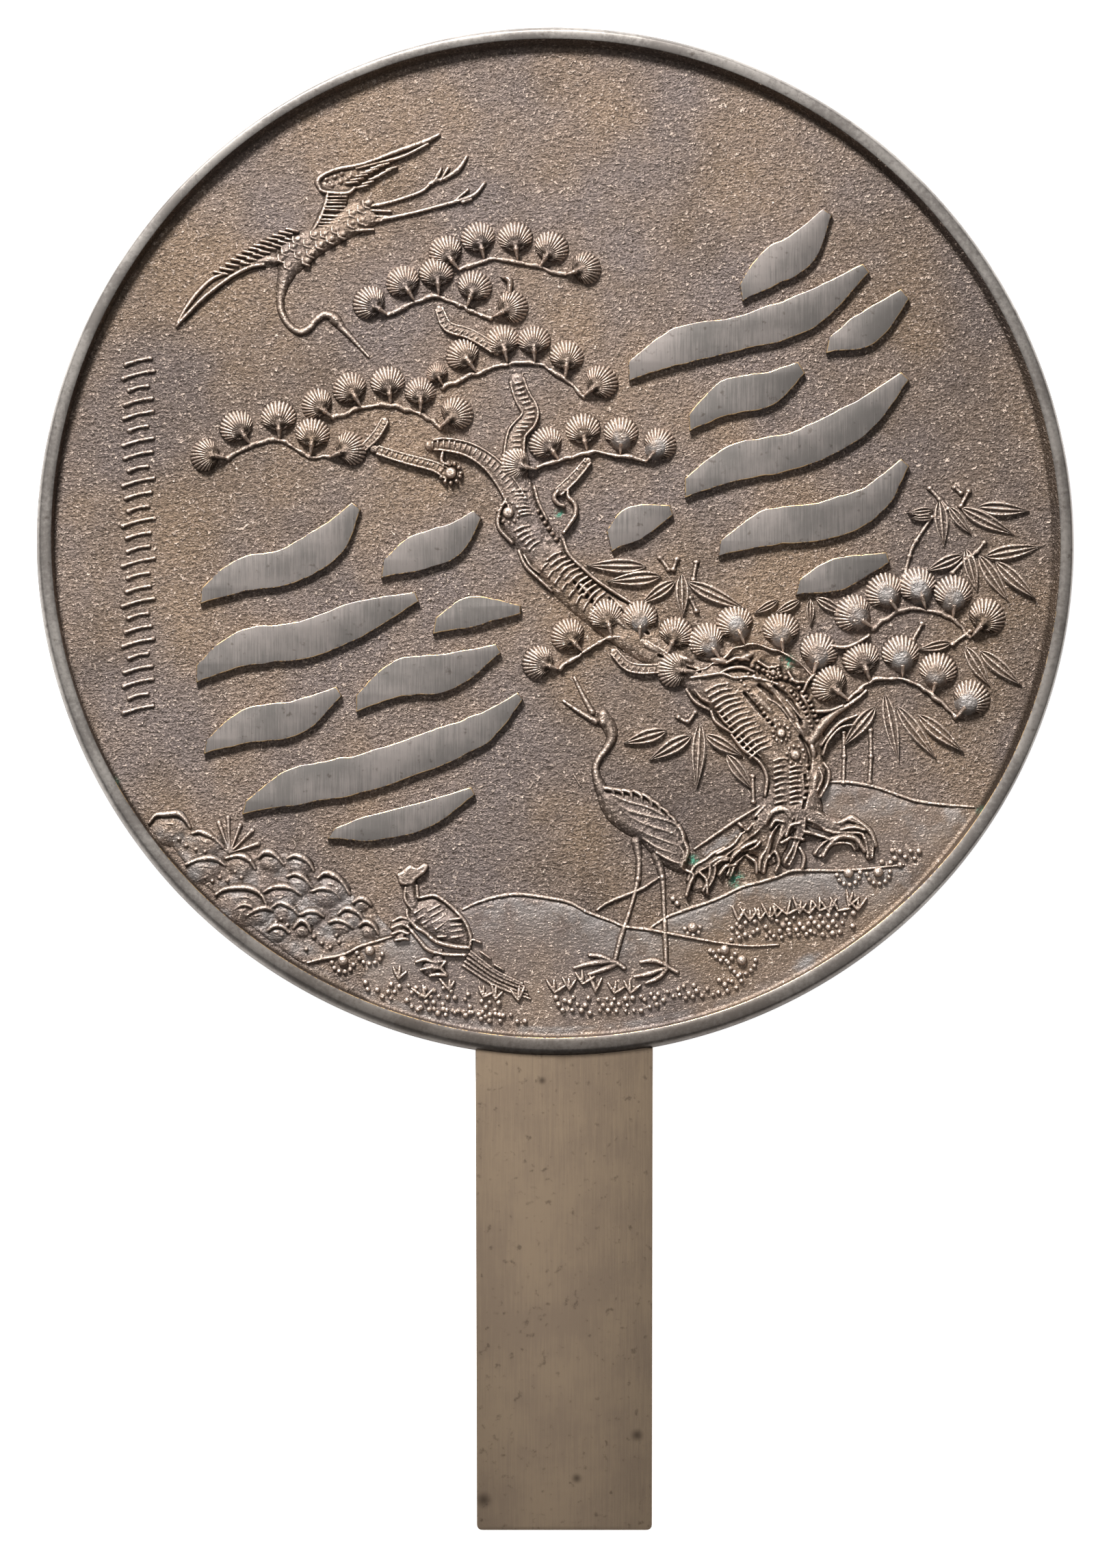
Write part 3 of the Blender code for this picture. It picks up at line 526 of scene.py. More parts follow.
class Mould:
    """Relief as heights in millimetres above the plate's ground, over a fine square grid of points."""

    def __init__(self, left, low, right, high, step=0.2):
        self.step = step
        self.corner = np.array([left, low])
        self.x, self.y = np.meshgrid(np.arange(left, right, step), np.arange(low, high, step))
        self.height = np.full(self.x.shape, ROOT)
        self.dust = np.zeros(self.x.shape)

    def near(self, points, reach):
        """The rows and columns of the grid within reach of some points."""
        points = np.atleast_2d(points)[:, :2]
        first = np.floor((points.min(0) - reach - self.corner) / self.step).astype(int).clip(0)
        last = np.ceil((points.max(0) + reach - self.corner) / self.step).astype(int).clip(1)
        return np.s_[first[1] : last[1], first[0] : last[0]]

    def join(self, part, raised, melt=0.2):
        """Keeps the higher of the old and the new surface, with a small fillet where they meet."""
        old, raised = self.height[part], np.maximum(raised, ROOT)
        close = np.clip(melt - np.abs(old - raised), 0, None) ** 2 / (4 * melt)
        rooted = np.clip((np.minimum(old, raised) - ROOT) / 0.4, 0, 1)
        self.height[part] = np.maximum(old, raised) + close * rooted

    def ridge(self, points, rise, power=2.0, base=0.0, taper=0.6, melt=0.2, thicker=1.0):
        """A rounded cord along a smooth path through points (x, y, width), lower where it is thinner.

        A negative rise cuts a groove so deep instead.
        """
        path = smooth_path(np.array(points, float) * (1, 1, thicker))
        path[:, 2] = np.clip(path[:, 2], 0.2, None)
        widest = path[:, 2].max()
        part = self.near(path, 0.8 * widest)
        share = np.full(self.x[part].shape, 9.0)
        width = np.full(share.shape, widest)
        origin = (part[0].start, part[1].start)
        for start, end in zip(path, path[1:]):
            rows, columns = self.near([start, end], 0.8 * widest)
            here = np.s_[rows.start - origin[0] : rows.stop - origin[0],
                         columns.start - origin[1] : columns.stop - origin[1]]
            x, y = self.x[rows, columns] - start[0], self.y[rows, columns] - start[1]
            run = end[:2] - start[:2]
            t = np.clip((x * run[0] + y * run[1]) / (run @ run + 1e-12), 0, 1)
            wide = start[2] + t * (end[2] - start[2])
            u = np.hypot(x - t * run[0], y - t * run[1]) / (wide / 2)
            nearer = u < share[here]
            share[here] = np.where(nearer, u, share[here])
            width[here] = np.where(nearer, wide, width[here])
        if rise < 0:
            self.height[part] += rise * np.clip(1 - share**power, 0, 1)
        else:
            self.join(part, (base + rise) * (width / widest) ** taper * (1 - share**power), melt)

    def cords(self, paths, rise, **how):
        for points in paths:
            self.ridge(points, rise, **how)

    def dome(self, x, y, length, width, turn, rise, power=2.0, base=0.0, melt=0.2):
        """An oval boss, longest along its turn in degrees."""
        part = self.near((x, y), 0.65 * max(length, width))
        dx, dy = self.x[part] - x, self.y[part] - y
        cos, sin = heading(turn)
        share = np.hypot((dx * cos + dy * sin) / (length / 2), (dy * cos - dx * sin) / (width / 2))
        self.join(part, (base + rise) * (1 - share**power), melt)

    def depth_in(self, part, outline):
        """How far each point of the grid lies inside an outline, negative outside."""
        x, y = self.x[part], self.y[part]
        nearest = np.full(x.shape, 1e9)
        inside = np.zeros(x.shape, bool)
        for (x0, y0), (x1, y1) in zip(outline, np.roll(outline, -1, axis=0)):
            run_x, run_y = x1 - x0, y1 - y0
            t = np.clip(((x - x0) * run_x + (y - y0) * run_y) / (run_x**2 + run_y**2 + 1e-12), 0, 1)
            nearest = np.minimum(nearest, np.hypot(x - x0 - t * run_x, y - y0 - t * run_y))
            crossing = (y0 > y) != (y1 > y)
            inside ^= crossing & (x < x0 + (y - y0) * run_x / (run_y if run_y else 1e-12))
        return np.where(inside, nearest, -nearest)

    def sheet(self, outline, rise, shoulder, spacing=1.2):
        """An area inside a smooth outline, rounded up to its full height over its shoulder's width."""
        outline = smooth_path([*outline, outline[0]], spacing)[:-1, :2]
        part = self.near(outline, 1)
        depth = self.depth_in(part, outline)
        rounded = 1 - (1 - np.clip(depth / shoulder, 0, 1)) ** 2
        self.join(part, np.where(depth > 0, rise * rounded, depth * 1.5))
        return part, depth

    def comb(self, first, second, count, width, rise, base=0.0, bend=0.0, taper=0.6):
        """Parallel cords from points spread along one line to points spread along another."""
        shares = (np.arange(count) + 0.5) / count
        for start, end in zip(along(first, shares), along(second, shares)):
            start, end = (
                point + COMB_SWAY * grain(*(point[:, None] * [[1, -1]]), 0.9, 13) for point in (start, end)
            )
            middle = (start + end) / 2 + bend * np.array([start[1] - end[1], end[0] - start[0]])
            points = [(*start, width), (*middle, width), (*end, 0.7 * width)]
            self.ridge(points, rise, base=base, taper=taper, melt=0.1)

    def limb(self, points, rise):
        """A branch: a flat-topped cord with a raised line down each side and small bars between them."""
        self.ridge(points, rise, power=3.5)
        path = smooth_path(points)
        for side in (-0.4, 0.4):
            line = np.column_stack([beside(path, side), np.full(len(path), 0.75)])
            self.ridge(line[::3], 0.4, base=rise * 0.85, taper=0)
        length = np.linalg.norm(np.diff(path[:, :2], axis=0), axis=1).sum()
        bars = max(2, int(length / 1.2))
        self.comb(beside(path, -0.22), beside(path, 0.22), bars, 0.75, 0.32, base=rise - 0.05)

    def skin(self, coarse=0.05, fine=0.035):
        """The sand's grain on the raised metal."""
        rough = coarse * grain(self.x, self.y, 1.1, 4) + fine * grain(self.x, self.y, 0.5, 5)
        self.height += np.where(self.height > ROOT + 0.02, rough, 0)

    def wear_and_shading(self):
        """How far each point stands out from what surrounds it, from -1 in a hollow to 1 on a crest."""
        reach = int(round(0.7 / self.step))
        near = np.pad(np.maximum(self.height, 0), reach + 1, mode="edge").cumsum(0).cumsum(1)
        span = 2 * reach + 1
        total = near[span:, span:] - near[:-span, span:] - near[span:, :-span] + near[:-span, :-span]
        mean = (total / span**2)[: self.x.shape[0], : self.x.shape[1]]
        return np.clip((self.height - mean) / 0.5 + 0.16 * np.clip(self.height, 0, 3) - 0.04, -1, 1)

    def cast(self, name):
        """The closed skin of what stands above the ground, as an object in the cast finish."""
        self.skin()
        high = self.height
        keep = np.maximum.reduce([high[:-1, :-1], high[1:, :-1], high[:-1, 1:], high[1:, 1:]]) > 0.4 * ROOT
        for _ in range(8):
            keep[1:, :-1] |= keep[:-1, :-1] & keep[1:, 1:] & ~keep[:-1, 1:]
            keep[:-1, :-1] |= keep[1:, :-1] & keep[:-1, 1:] & ~keep[1:, 1:]
        number = np.arange(self.x.size).reshape(self.x.shape)
        quads = np.stack([number[:-1, :-1], number[:-1, 1:], number[1:, 1:], number[1:, :-1]], axis=-1)[keep]
        used, quads = np.unique(quads, return_inverse=True)
        quads = quads.reshape(-1, 4)
        x, y = self.x.ravel()[used], self.y.ravel()[used]
        z = GROUND + land(x, y) + self.height.ravel()[used]
        edges = np.concatenate([quads[:, [0, 1]], quads[:, [1, 2]], quads[:, [2, 3]], quads[:, [3, 0]]])
        count = len(used)
        open_edges = edges[~np.isin(edges[:, 0] * count + edges[:, 1], edges[:, 1] * count + edges[:, 0])]
        foot, ends = np.unique(open_edges, return_inverse=True)
        ends = ends.reshape(-1, 2) + count
        apex = count + len(foot)
        points = np.concatenate([
            np.stack([x, y, z], axis=1),
            np.stack([x[foot], y[foot], np.full(len(foot), GROUND - SKIRT)], axis=1),
            [[x.mean(), y.mean(), GROUND - APEX]],
        ])
        walls = np.column_stack([open_edges[:, 1], open_edges[:, 0], ends[:, 0], ends[:, 1]])
        base = np.column_stack([ends[:, 1], ends[:, 0], np.full(len(ends), apex)])
        piece = smooth_mesh(name, points, [*quads.tolist(), *walls.tolist(), *base.tolist()], cast_bronze)
        for label, values, under in (("wear_and_shading", self.wear_and_shading(), -1), ("dusty", self.dust, 0)):
            store(piece, label, np.append(values.ravel()[used], np.full(len(foot) + 1, under)))
        return piece


# The low broken ground where boughs cross above the trunk
THICKET = [(28, -23), (38, -23.6), (50, -24.6), (57.6, -28), (61.6, -35), (61, -42), (50, -36), (36, -30)]
# Where the bark is broken up, as (x, y, half width, half height)
SCARRED = [
    (53, -29, 9, 3.6), (56.5, -34, 4.5, 5), (36, -27, 8, 3), (0, 2, 3.6, 3.4), (8, -9, 3.4, 4),
    (59.5, -46, 2.6, 5),
]
# The trunk's outline, down its left side and up its right
TRUNK = [
    (-11.5, 12.5), (-12.9, 8), (-13, 4), (-10, 0.5), (-7.6, -3), (-3.8, -7.6), (1, -13), (8, -19), (16, -25),
    (25, -30), (30.3, -33.7), (35.8, -38.4), (40.4, -43.5), (47.2, -50.2), (48.9, -54), (48.4, -58),
    (46.5, -61.5), (50, -65), (58, -65), (62, -62), (61.6, -57.8), (63.3, -53), (62, -49), (62.6, -44.3),
    (60.4, -41), (59, -36.6), (56, -32.6), (50, -29.6), (42, -28), (33, -25.6), (24, -19.4), (18.3, -14.2),
    (13.5, -11.5), (6.2, -5.3), (3.1, -2.2), (1.9, 1.2), (-1.9, 5.8), (-3.8, 9.7), (-4.8, 13.5), (-7, 17),
    (-10.5, 17),
]
# Raised lines down the trunk's sides, as (x, y, width)
TRUNK_EDGES = [
    [(-11.2, 10.8, 1), (-12.9, 7.5, 1.2), (-13, 4, 1.2), (-10, 0.5, 1.1)],
    [(-8.4, -1.5, 1), (-6.8, -4.9, 1.2), (-3.6, -8, 1.1), (-0.8, -10.7, 0.8)],
    [(-4.8, 13.4, 0.9), (-3.8, 9.7, 1), (-1.9, 5.9, 0.8)],
    [(1.9, 1.2, 1), (3.2, -2.2, 1.2), (6.4, -5.4, 1.2), (10.4, -8.8, 1.1), (18.3, -13.9, 0.9)],
    [(30.4, -33.6, 0.9), (32.4, -36.3, 1.1), (35.6, -38.2, 0.9)],
    [(36.1, -38.6, 0.9), (37.2, -41, 1.1), (40.6, -43.4, 0.9)],
    [(40.8, -44, 0.9), (43.6, -47.4, 1.2), (47.3, -50.3, 1.1), (49, -53.8, 1.2), (48.6, -58, 1)],
    [(62.2, -50.6, 0.9), (63.3, -52.4, 1.2), (63.1, -55, 1.1), (61.4, -58.4, 0.8)],
]
# Old scars beside them, as shorter lines
SCARS = [
    [(32.3, -33.6, 0.7), (34, -35.6, 0.8), (36, -36.6, 0.5)],
    [(37.6, -38.7, 0.7), (39.4, -41.2, 0.8), (41.4, -42.6, 0.5)],
    [(38.9, -38.5, 0.6), (40.6, -40.8, 0.7), (42.2, -42, 0.5)],
    [(42.3, -44, 0.7), (45, -47, 0.8), (47.6, -49, 0.6)],
    [(-7.2, -2.4, 0.7), (-5.6, -5, 0.8), (-3.6, -6.6, 0.5)],
    [(-4.4, -7.2, 0.7), (-2.6, -9, 0.8), (-1, -9.8, 0.5)],
    [(49.2, -35.6, 0.8), (52, -37.4, 0.9), (55.4, -41.8, 0.7)], [(53.6, -36, 0.7), (57, -40.2, 0.7)],
    [(54.2, -40.5, 0.6), (56.6, -43.6, 0.6)], [(61, -51.6, 0.7), (61.8, -54, 0.8), (60.6, -57, 0.6)],
    [(59.4, -52.5, 0.6), (60, -55, 0.7), (59.2, -58, 0.5)], [(45.2, -44.6, 0.6), (47, -47, 0.6)],
]
# Deep cracks in the bark and hollows between the roots
CREVICES = [
    [(47.2, -32.6, 1), (50, -34.8, 1.5), (52.6, -37.8, 1.3), (54.4, -40.6, 0.8)],
    [(50.8, -32.8, 0.9), (53.6, -35.2, 1.5), (56, -38.8, 1.2), (57, -41.6, 0.8)],
    [(54.8, -33.4, 0.9), (57, -36.2, 1.3), (58.4, -39.6, 0.9)],
    [(43.8, -34.4, 0.8), (47.4, -38.6, 1.1), (50.4, -41.8, 0.8)],
    [(56.8, -44.4, 1), (58.8, -48, 1.3), (58.8, -52, 1)],
    [(57.8, -53.4, 0.8), (58.2, -57, 1.1), (57.4, -61, 0.8)],
    [(51.8, -65.4, 1), (50.9, -68, 1.5), (50, -71.6, 1.2)],
    [(55.4, -66, 1), (54.4, -69.4, 1.6), (53, -72, 1.2)],
    [(58.6, -65.4, 1.2), (60.6, -66.6, 1.6), (63.6, -67, 1)],
    [(46.4, -63.4, 1), (43.4, -66, 1.2), (39.6, -69.6, 1.2)],
    [(45.8, -69.6, 1), (43.4, -71.4, 1.4), (40.6, -74, 1)],
    [(12.6, -12.4, 0.8), (16.4, -16.4, 1), (21.6, -20.6, 0.8)],
    [(24, -25.6, 0.8), (29, -28, 1), (33.6, -29.4, 0.8)],
    [(4.4, -8.6, 0.7), (8, -12.6, 0.9), (12, -16.2, 0.7)],
]
# Rows of round grains between the ladders, as a line and its number of grains
GRAINS = [
    ([(42.6, -31), (46.8, -36.2), (50, -41.8)], 10), ([(54.2, -33.4), (57.4, -37.6), (59.6, -42.6)], 9),
    ([(56, -32.6), (59, -36.6), (60.9, -41.4)], 8), ([(45, -27.8), (51, -30), (56.6, -32)], 9),
    ([(44, -29.6), (49.6, -31.6), (53.4, -33)], 7), ([(-4.4, 8.4), (-2, 4.4), (0.6, 0.6)], 6),
    ([(58.2, -50.4), (58.6, -54.4), (57.6, -59.4)], 6),
]
# Long smooth plates of bark, as (x, y, length, width, turn in degrees)
PLATES = [
    (48, -36.6, 11.5, 3, -47), (51.8, -36.4, 7, 2.2, -50), (54.2, -39, 6.4, 1.9, -52),
    (56.6, -42.6, 5.4, 1.8, -58), (59.6, -47.4, 5.6, 2, -80), (60, -55, 8, 2.2, -100),
    (14.4, -17.4, 9, 2.2, -42), (22, -23.6, 8, 2.4, -34), (38, -26.8, 5.4, 2, -10), (44, -26, 4.4, 1.8, 20),
    (30, -26.4, 6, 2, -24), (49.6, -32.6, 4.6, 1.8, -30), (57.6, -36, 4.4, 1.6, -60),
    (46.4, -31, 3.4, 1.6, -30), (6.6, -10, 6, 1.8, -44),
]
# Bark, as two lines that each row of bars runs between, with its number of bars
BARK = [
    ([(-9.6, 13), (-9.4, 9.4), (-7.6, 6.4)], [(-6.6, 13), (-6.2, 9.6), (-4.4, 6.6)], 7),
    ([(-9.8, 3.8), (-5.8, -1.8)], [(-6.2, 4.8), (-3.2, 0.2)], 5),
    ([(-2.6, -3.2), (2.8, -8.6), (9.4, -14.4)], [(1, -1.2), (5.6, -5.8), (12, -11.6)], 11),
    ([(-4, -5), (3, -11.8), (9, -17.4)], [(-2.4, -3.4), (4.2, -9.6), (10.6, -15)], 8),
    ([(34.4, -33.4), (39.8, -41.6), (45.6, -50)], [(40, -31.6), (45.2, -38.6), (50.4, -47)], 14),
    ([(50.6, -49.4), (50.8, -60.6)], [(53.4, -48.8), (53.6, -60)], 8),
    ([(54.2, -51), (54.2, -60.4)], [(57.2, -50.6), (57, -60)], 8),
]
# Knots ringed with grains, as (x, y, size)
KNOTS = [(-10.8, 7.4, 5.4), (52.3, -43.6, 4.4), (55.6, -48.7, 4.8), (-24.2, 16.6, 5.4), (50.4, -29.6, 3)]
# Limbs that carry a flat top with bars, as (x, y, width)
LIMBS = [
    [(-9.3, 17, 6.4), (-9.4, 22, 5.6), (-8.7, 26, 5), (-6.4, 28.6, 4.8), (-5.8, 31, 4.6), (-7.6, 34.4, 4.4),
     (-8.8, 38, 4)],
    [(-8.6, 9.6, 5.6), (-11.4, 14.4, 5), (-15, 18.8, 4.4), (-20, 22, 3.8), (-25.6, 23.2, 3.4),
     (-29, 23, 2.6)],
    [(-24.6, 16.2, 3), (-28, 18.1, 2.6), (-35, 20, 2.5), (-42, 22.2, 2.3)],
    [(-26.8, 54.6, 2), (-24.9, 50.6, 2.6), (-20.2, 49, 2.6), (-15.9, 46.6, 2.6), (-13.4, 44.6, 2)],
    [(-44.3, 22.4, 1.8), (-41.4, 25.4, 2.1), (-39.4, 28.7, 2)],
    [(7.6, 19.4, 2), (4.4, 15.6, 2.3), (0.8, 12.2, 2.4)],
    [(13.6, -24.8, 2), (16.7, -28, 2.4), (20.4, -28.8, 2.4), (25, -28.6, 2.2)],
]
# Vines, twigs and torn strips of bark, as (x, y, width)
CORDS = [
    [(31.4, -30.8, 1.2), (35.6, -30.2, 1.4), (38.6, -29.8, 1.3), (41.6, -30.8, 1.4), (45, -30.6, 1.3),
     (48.6, -31.4, 1.3), (52, -32.4, 0.9)],
    [(38.2, -29.6, 0.9), (40.6, -28.6, 1.1), (43.4, -28.4, 1.1), (46, -29.4, 0.9)],
    [(39.6, -27.4, 0.8), (42, -26.2, 1), (44.8, -26.6, 0.8)],
    [(47, -27, 0.8), (49.4, -28.4, 1), (51.8, -28, 0.8)],
    [(54, -29.6, 0.8), (55.4, -31.6, 1), (57.6, -31.8, 0.8)],
    [(57.6, -33.6, 0.9), (58.6, -31.4, 1.1), (60.2, -29.8, 0.8)],
    [(59.4, -45.4, 3), (61.6, -42, 3), (64.2, -39.4, 2.4), (67, -37.6, 1.6), (70, -35.6, 1.2),
     (72, -33.8, 1)],
    [(61.6, -46.4, 0.9), (63.6, -43.6, 1.1), (66.2, -41, 1.2), (70, -39.4, 0.8)],
    [(62, -48.6, 0.8), (63.2, -45.4, 1), (66, -42.4, 1), (69.4, -41.6, 0.7)],
    [(0.6, 12.4, 1.4), (-0.2, 11, 1.5), (0.6, 9.6, 1.3), (2, 9, 1.1)],
    [(3, 12.6, 1), (3, 11.2, 1.3), (4.6, 9.4, 1.4), (4.7, 7, 1.4), (3.4, 4.8, 1.3), (2, 2.8, 1.1)],
    [(-13, 63, 1.6), (-10.6, 61.2, 1.8), (-10.6, 58.4, 1.4)],
    [(-26, 21.4, 1), (-26.2, 19.2, 1.2), (-24.4, 18.4, 1)],
    [(63.8, -23.4, 1.2), (67, -23.7, 1.3), (69.7, -22.8, 1.2), (72.6, -21, 1)],
    [(60.6, -38.6, 1.3), (63.6, -38.4, 1.2), (66.6, -37.2, 0.9)],
]
# The gnarled foot of the trunk, under its roots
FOOT = [
    (46.6, -60.6), (44.4, -64), (40.6, -68.4), (36, -71.6), (31.6, -75), (31.4, -80), (35, -80.4),
    (38.4, -75.6), (41.6, -73.4), (46, -72), (48.6, -74.6), (53.4, -72.6), (56.2, -69.4), (60.6, -68.4),
    (66, -66.4), (65.6, -64.4), (61.6, -62),
]
# Roots, and the cords that curl over and between them, as (x, y, width)
ROOTS = [
    [(49.6, -61.4, 4.4), (46.4, -65.6, 4), (41.4, -70, 3.6), (37, -73, 3.2), (33, -75.2, 2.8),
     (31, -79, 2.4)],
    [(54, -63, 4.4), (51.4, -67.6, 3.6), (49, -71.6, 3), (48, -76, 2.2)],
    [(57, -63.5, 4), (55.4, -69.6, 3), (53.4, -73.8, 2.2)],
    [(59.4, -62.6, 4.4), (63.4, -64.8, 3.6), (67.2, -65.2, 3.2), (71.2, -66.4, 3), (73, -69.6, 2.6),
     (72.8, -72.4, 2)],
    [(60.6, -71.4, 1.8), (62.8, -69, 2.6), (66, -67.8, 2.8), (69.2, -68.8, 2.4), (70.2, -70.8, 2)],
    [(44, -70, 2.2), (41.6, -73.6, 2), (40.4, -77, 1.6)],
    [(36.4, -74.2, 1.8), (35.8, -77.6, 1.8), (34.6, -80.6, 1.4)],
]
ROOT_CURLS = [
    [(48.6, -64.6, 1), (49.6, -62.2, 1.5), (51.8, -60.9, 1.6), (54, -61.6, 1.5), (54.6, -63.4, 1)],
    [(53.4, -67.4, 0.9), (54.4, -65, 1.1), (56.6, -64.4, 1)],
    [(52.4, -69, 0.8), (54.8, -67.8, 1), (57.4, -68.2, 0.8)],
    [(62, -72, 1), (63.4, -69.6, 1.4), (66, -67.6, 1.6), (69.4, -68, 1.5), (71.6, -70.8, 1.2)],
    [(66.2, -64.6, 1), (68.4, -63.2, 1.3), (70.6, -64.4, 1.2), (73, -66.6, 1.3), (74.2, -69.6, 1)],
    [(36.2, -73.6, 1), (38.2, -72.4, 1.3), (40, -72.6, 1)],
    [(38, -76.4, 0.9), (39.6, -74.4, 1.1), (41.8, -74, 0.9)],
    [(41.4, -72, 0.9), (43.6, -70, 1.2), (46.6, -68.6, 1)],
    [(49.2, -63.6, 1), (50.6, -61.8, 1.4), (52.8, -61.3, 1.4), (54.2, -63, 1.1)],
    [(49.8, -65.4, 0.8), (51, -63.8, 1), (53, -64.2, 0.9)],
    [(57.6, -66.4, 1), (60.8, -67, 1.1), (63.6, -68.3, 0.9)],
    [(65.6, -64.4, 0.9), (67.8, -63.6, 1.1), (70.2, -64.6, 0.9)],
    [(66, -66, 0.8), (69, -65.4, 0.9), (71.6, -66, 0.8)],
    [(42.6, -64.6, 0.8), (44.4, -66, 0.9), (45.6, -64.4, 0.8)],
    [(43, -66.8, 0.8), (41.2, -69.4, 0.9), (37.4, -71.6, 0.8)],
    [(47.4, -68.8, 0.8), (46.2, -70, 0.9), (43.2, -71, 0.8)],
    [(49.4, -72.4, 0.8), (50.8, -71, 0.9), (51.8, -73.4, 0.8), (51, -75.6, 0.7)],
    [(56.6, -70.2, 0.8), (57.6, -72.4, 1), (57.2, -74.8, 0.9)],
    [(44.4, -72, 0.8), (46.4, -73.6, 0.9), (46.6, -76, 0.7)],
    [(36.6, -74.4, 0.8), (38.4, -73, 1), (39.8, -73, 0.8)],
    [(30.4, -75.4, 0.8), (32, -76.4, 1), (31.2, -78.4, 1), (30.4, -81.2, 0.8)],
    [(33.6, -76, 0.8), (35, -77.6, 0.9), (35.2, -80.6, 0.8)],
]


def make_pine():
    pine = Mould(-46, -84, 78, 62)
    part, depth = pine.sheet(THICKET, 0.3, shoulder=1)
    broken = 0.5 * np.maximum(grain(pine.x[part], pine.y[part], 1.2, 20), -0.4)
    pine.height[part] += np.where(depth > 0.2, broken, 0)
    part, depth = pine.sheet(TRUNK, 1.15, shoulder=2.6)
    x, y = pine.x[part], pine.y[part]
    lumps = 0.14 * grain(x, y, 2.1, 6) + 0.16 * np.maximum(grain(x, y, 0.9, 7), 0)
    for middle_x, middle_y, wide, high in SCARRED:
        away = np.hypot((x - middle_x) / wide, (y - middle_y) / high)
        lumps += np.clip(1.6 - 1.6 * away, 0, 1) * (0.45 * grain(x, y, 1.1, 17) - 0.35)
    pine.height[part] += np.where(depth > 0.4, lumps, 0)
    for points in LIMBS:
        pine.limb(points, 1.0 + 0.1 * points[0][2])
    part, depth = pine.sheet(FOOT, 0.55, shoulder=1.5)
    pine.height[part] += np.where(depth > 0.3, 0.3 * grain(pine.x[part], pine.y[part], 1.7, 19), 0)
    for points in ROOTS:
        path = smooth_path(points)
        path[:, 2] *= 1 + 0.35 * grain(*path[:, :2].T, 2.6, 11)
        pine.ridge(path[::3], 0.8 + 0.12 * points[0][2], power=2.6)
        for side, wide in ((-0.34, 1.1), (0.2, 0.8)):
            line = beside(path, side)
            line += 0.5 * sway(line, 3.1, 12)
            widths = wide * (1 + 0.5 * grain(*line.T, 1.7, 14))
            pine.ridge(np.column_stack([line, widths])[::3], 0.65, base=0.9, taper=0.4)
    pine.cords(CORDS, 1.0, base=0.85)
    pine.cords(ROOT_CURLS, 1.05, base=0.8, taper=0.4, thicker=1.3)
    for x, y, length, width, turn in PLATES:
        pine.dome(x, y, length, width, turn, 0.75, power=2.5, base=1.0, melt=CRISP)
    pine.cords(CREVICES, -0.9)
    pine.cords(TRUNK_EDGES, 0.75, base=0.95)
    pine.cords(SCARS, 0.6, base=1.0)
    for first, second, count in BARK:
        pine.comb(first, second, count, 1.0, 0.75, base=1.05, bend=0.08)
    for line, count in GRAINS:
        for x, y in along(line, (np.arange(count) + 0.5) / count):
            pine.dome(x, y, 1.5, 1.15, 20, 0.7, base=1.05, melt=CRISP)
    for x, y, size in KNOTS:
        for turn in np.arange(0, 360, 34):
            pine.dome(*((x, y) + size / 2.3 * heading(turn)), 1.4, 1.1, turn, 0.9, base=1.0, melt=CRISP)
        pine.dome(x, y, size * 0.54, size * 0.54, 0, 1.1, power=6, base=1.1, melt=CRISP)
    return pine.cast("pine_trunk")


trunk = make_pine()
on_mirror(trunk)


# The pine's needle tufts: some fifty little shells, each a smooth dome with needles raying from its outer
# half and a bright nub where it meets the twig. They sit in boughs of five or six along thin arched twigs.

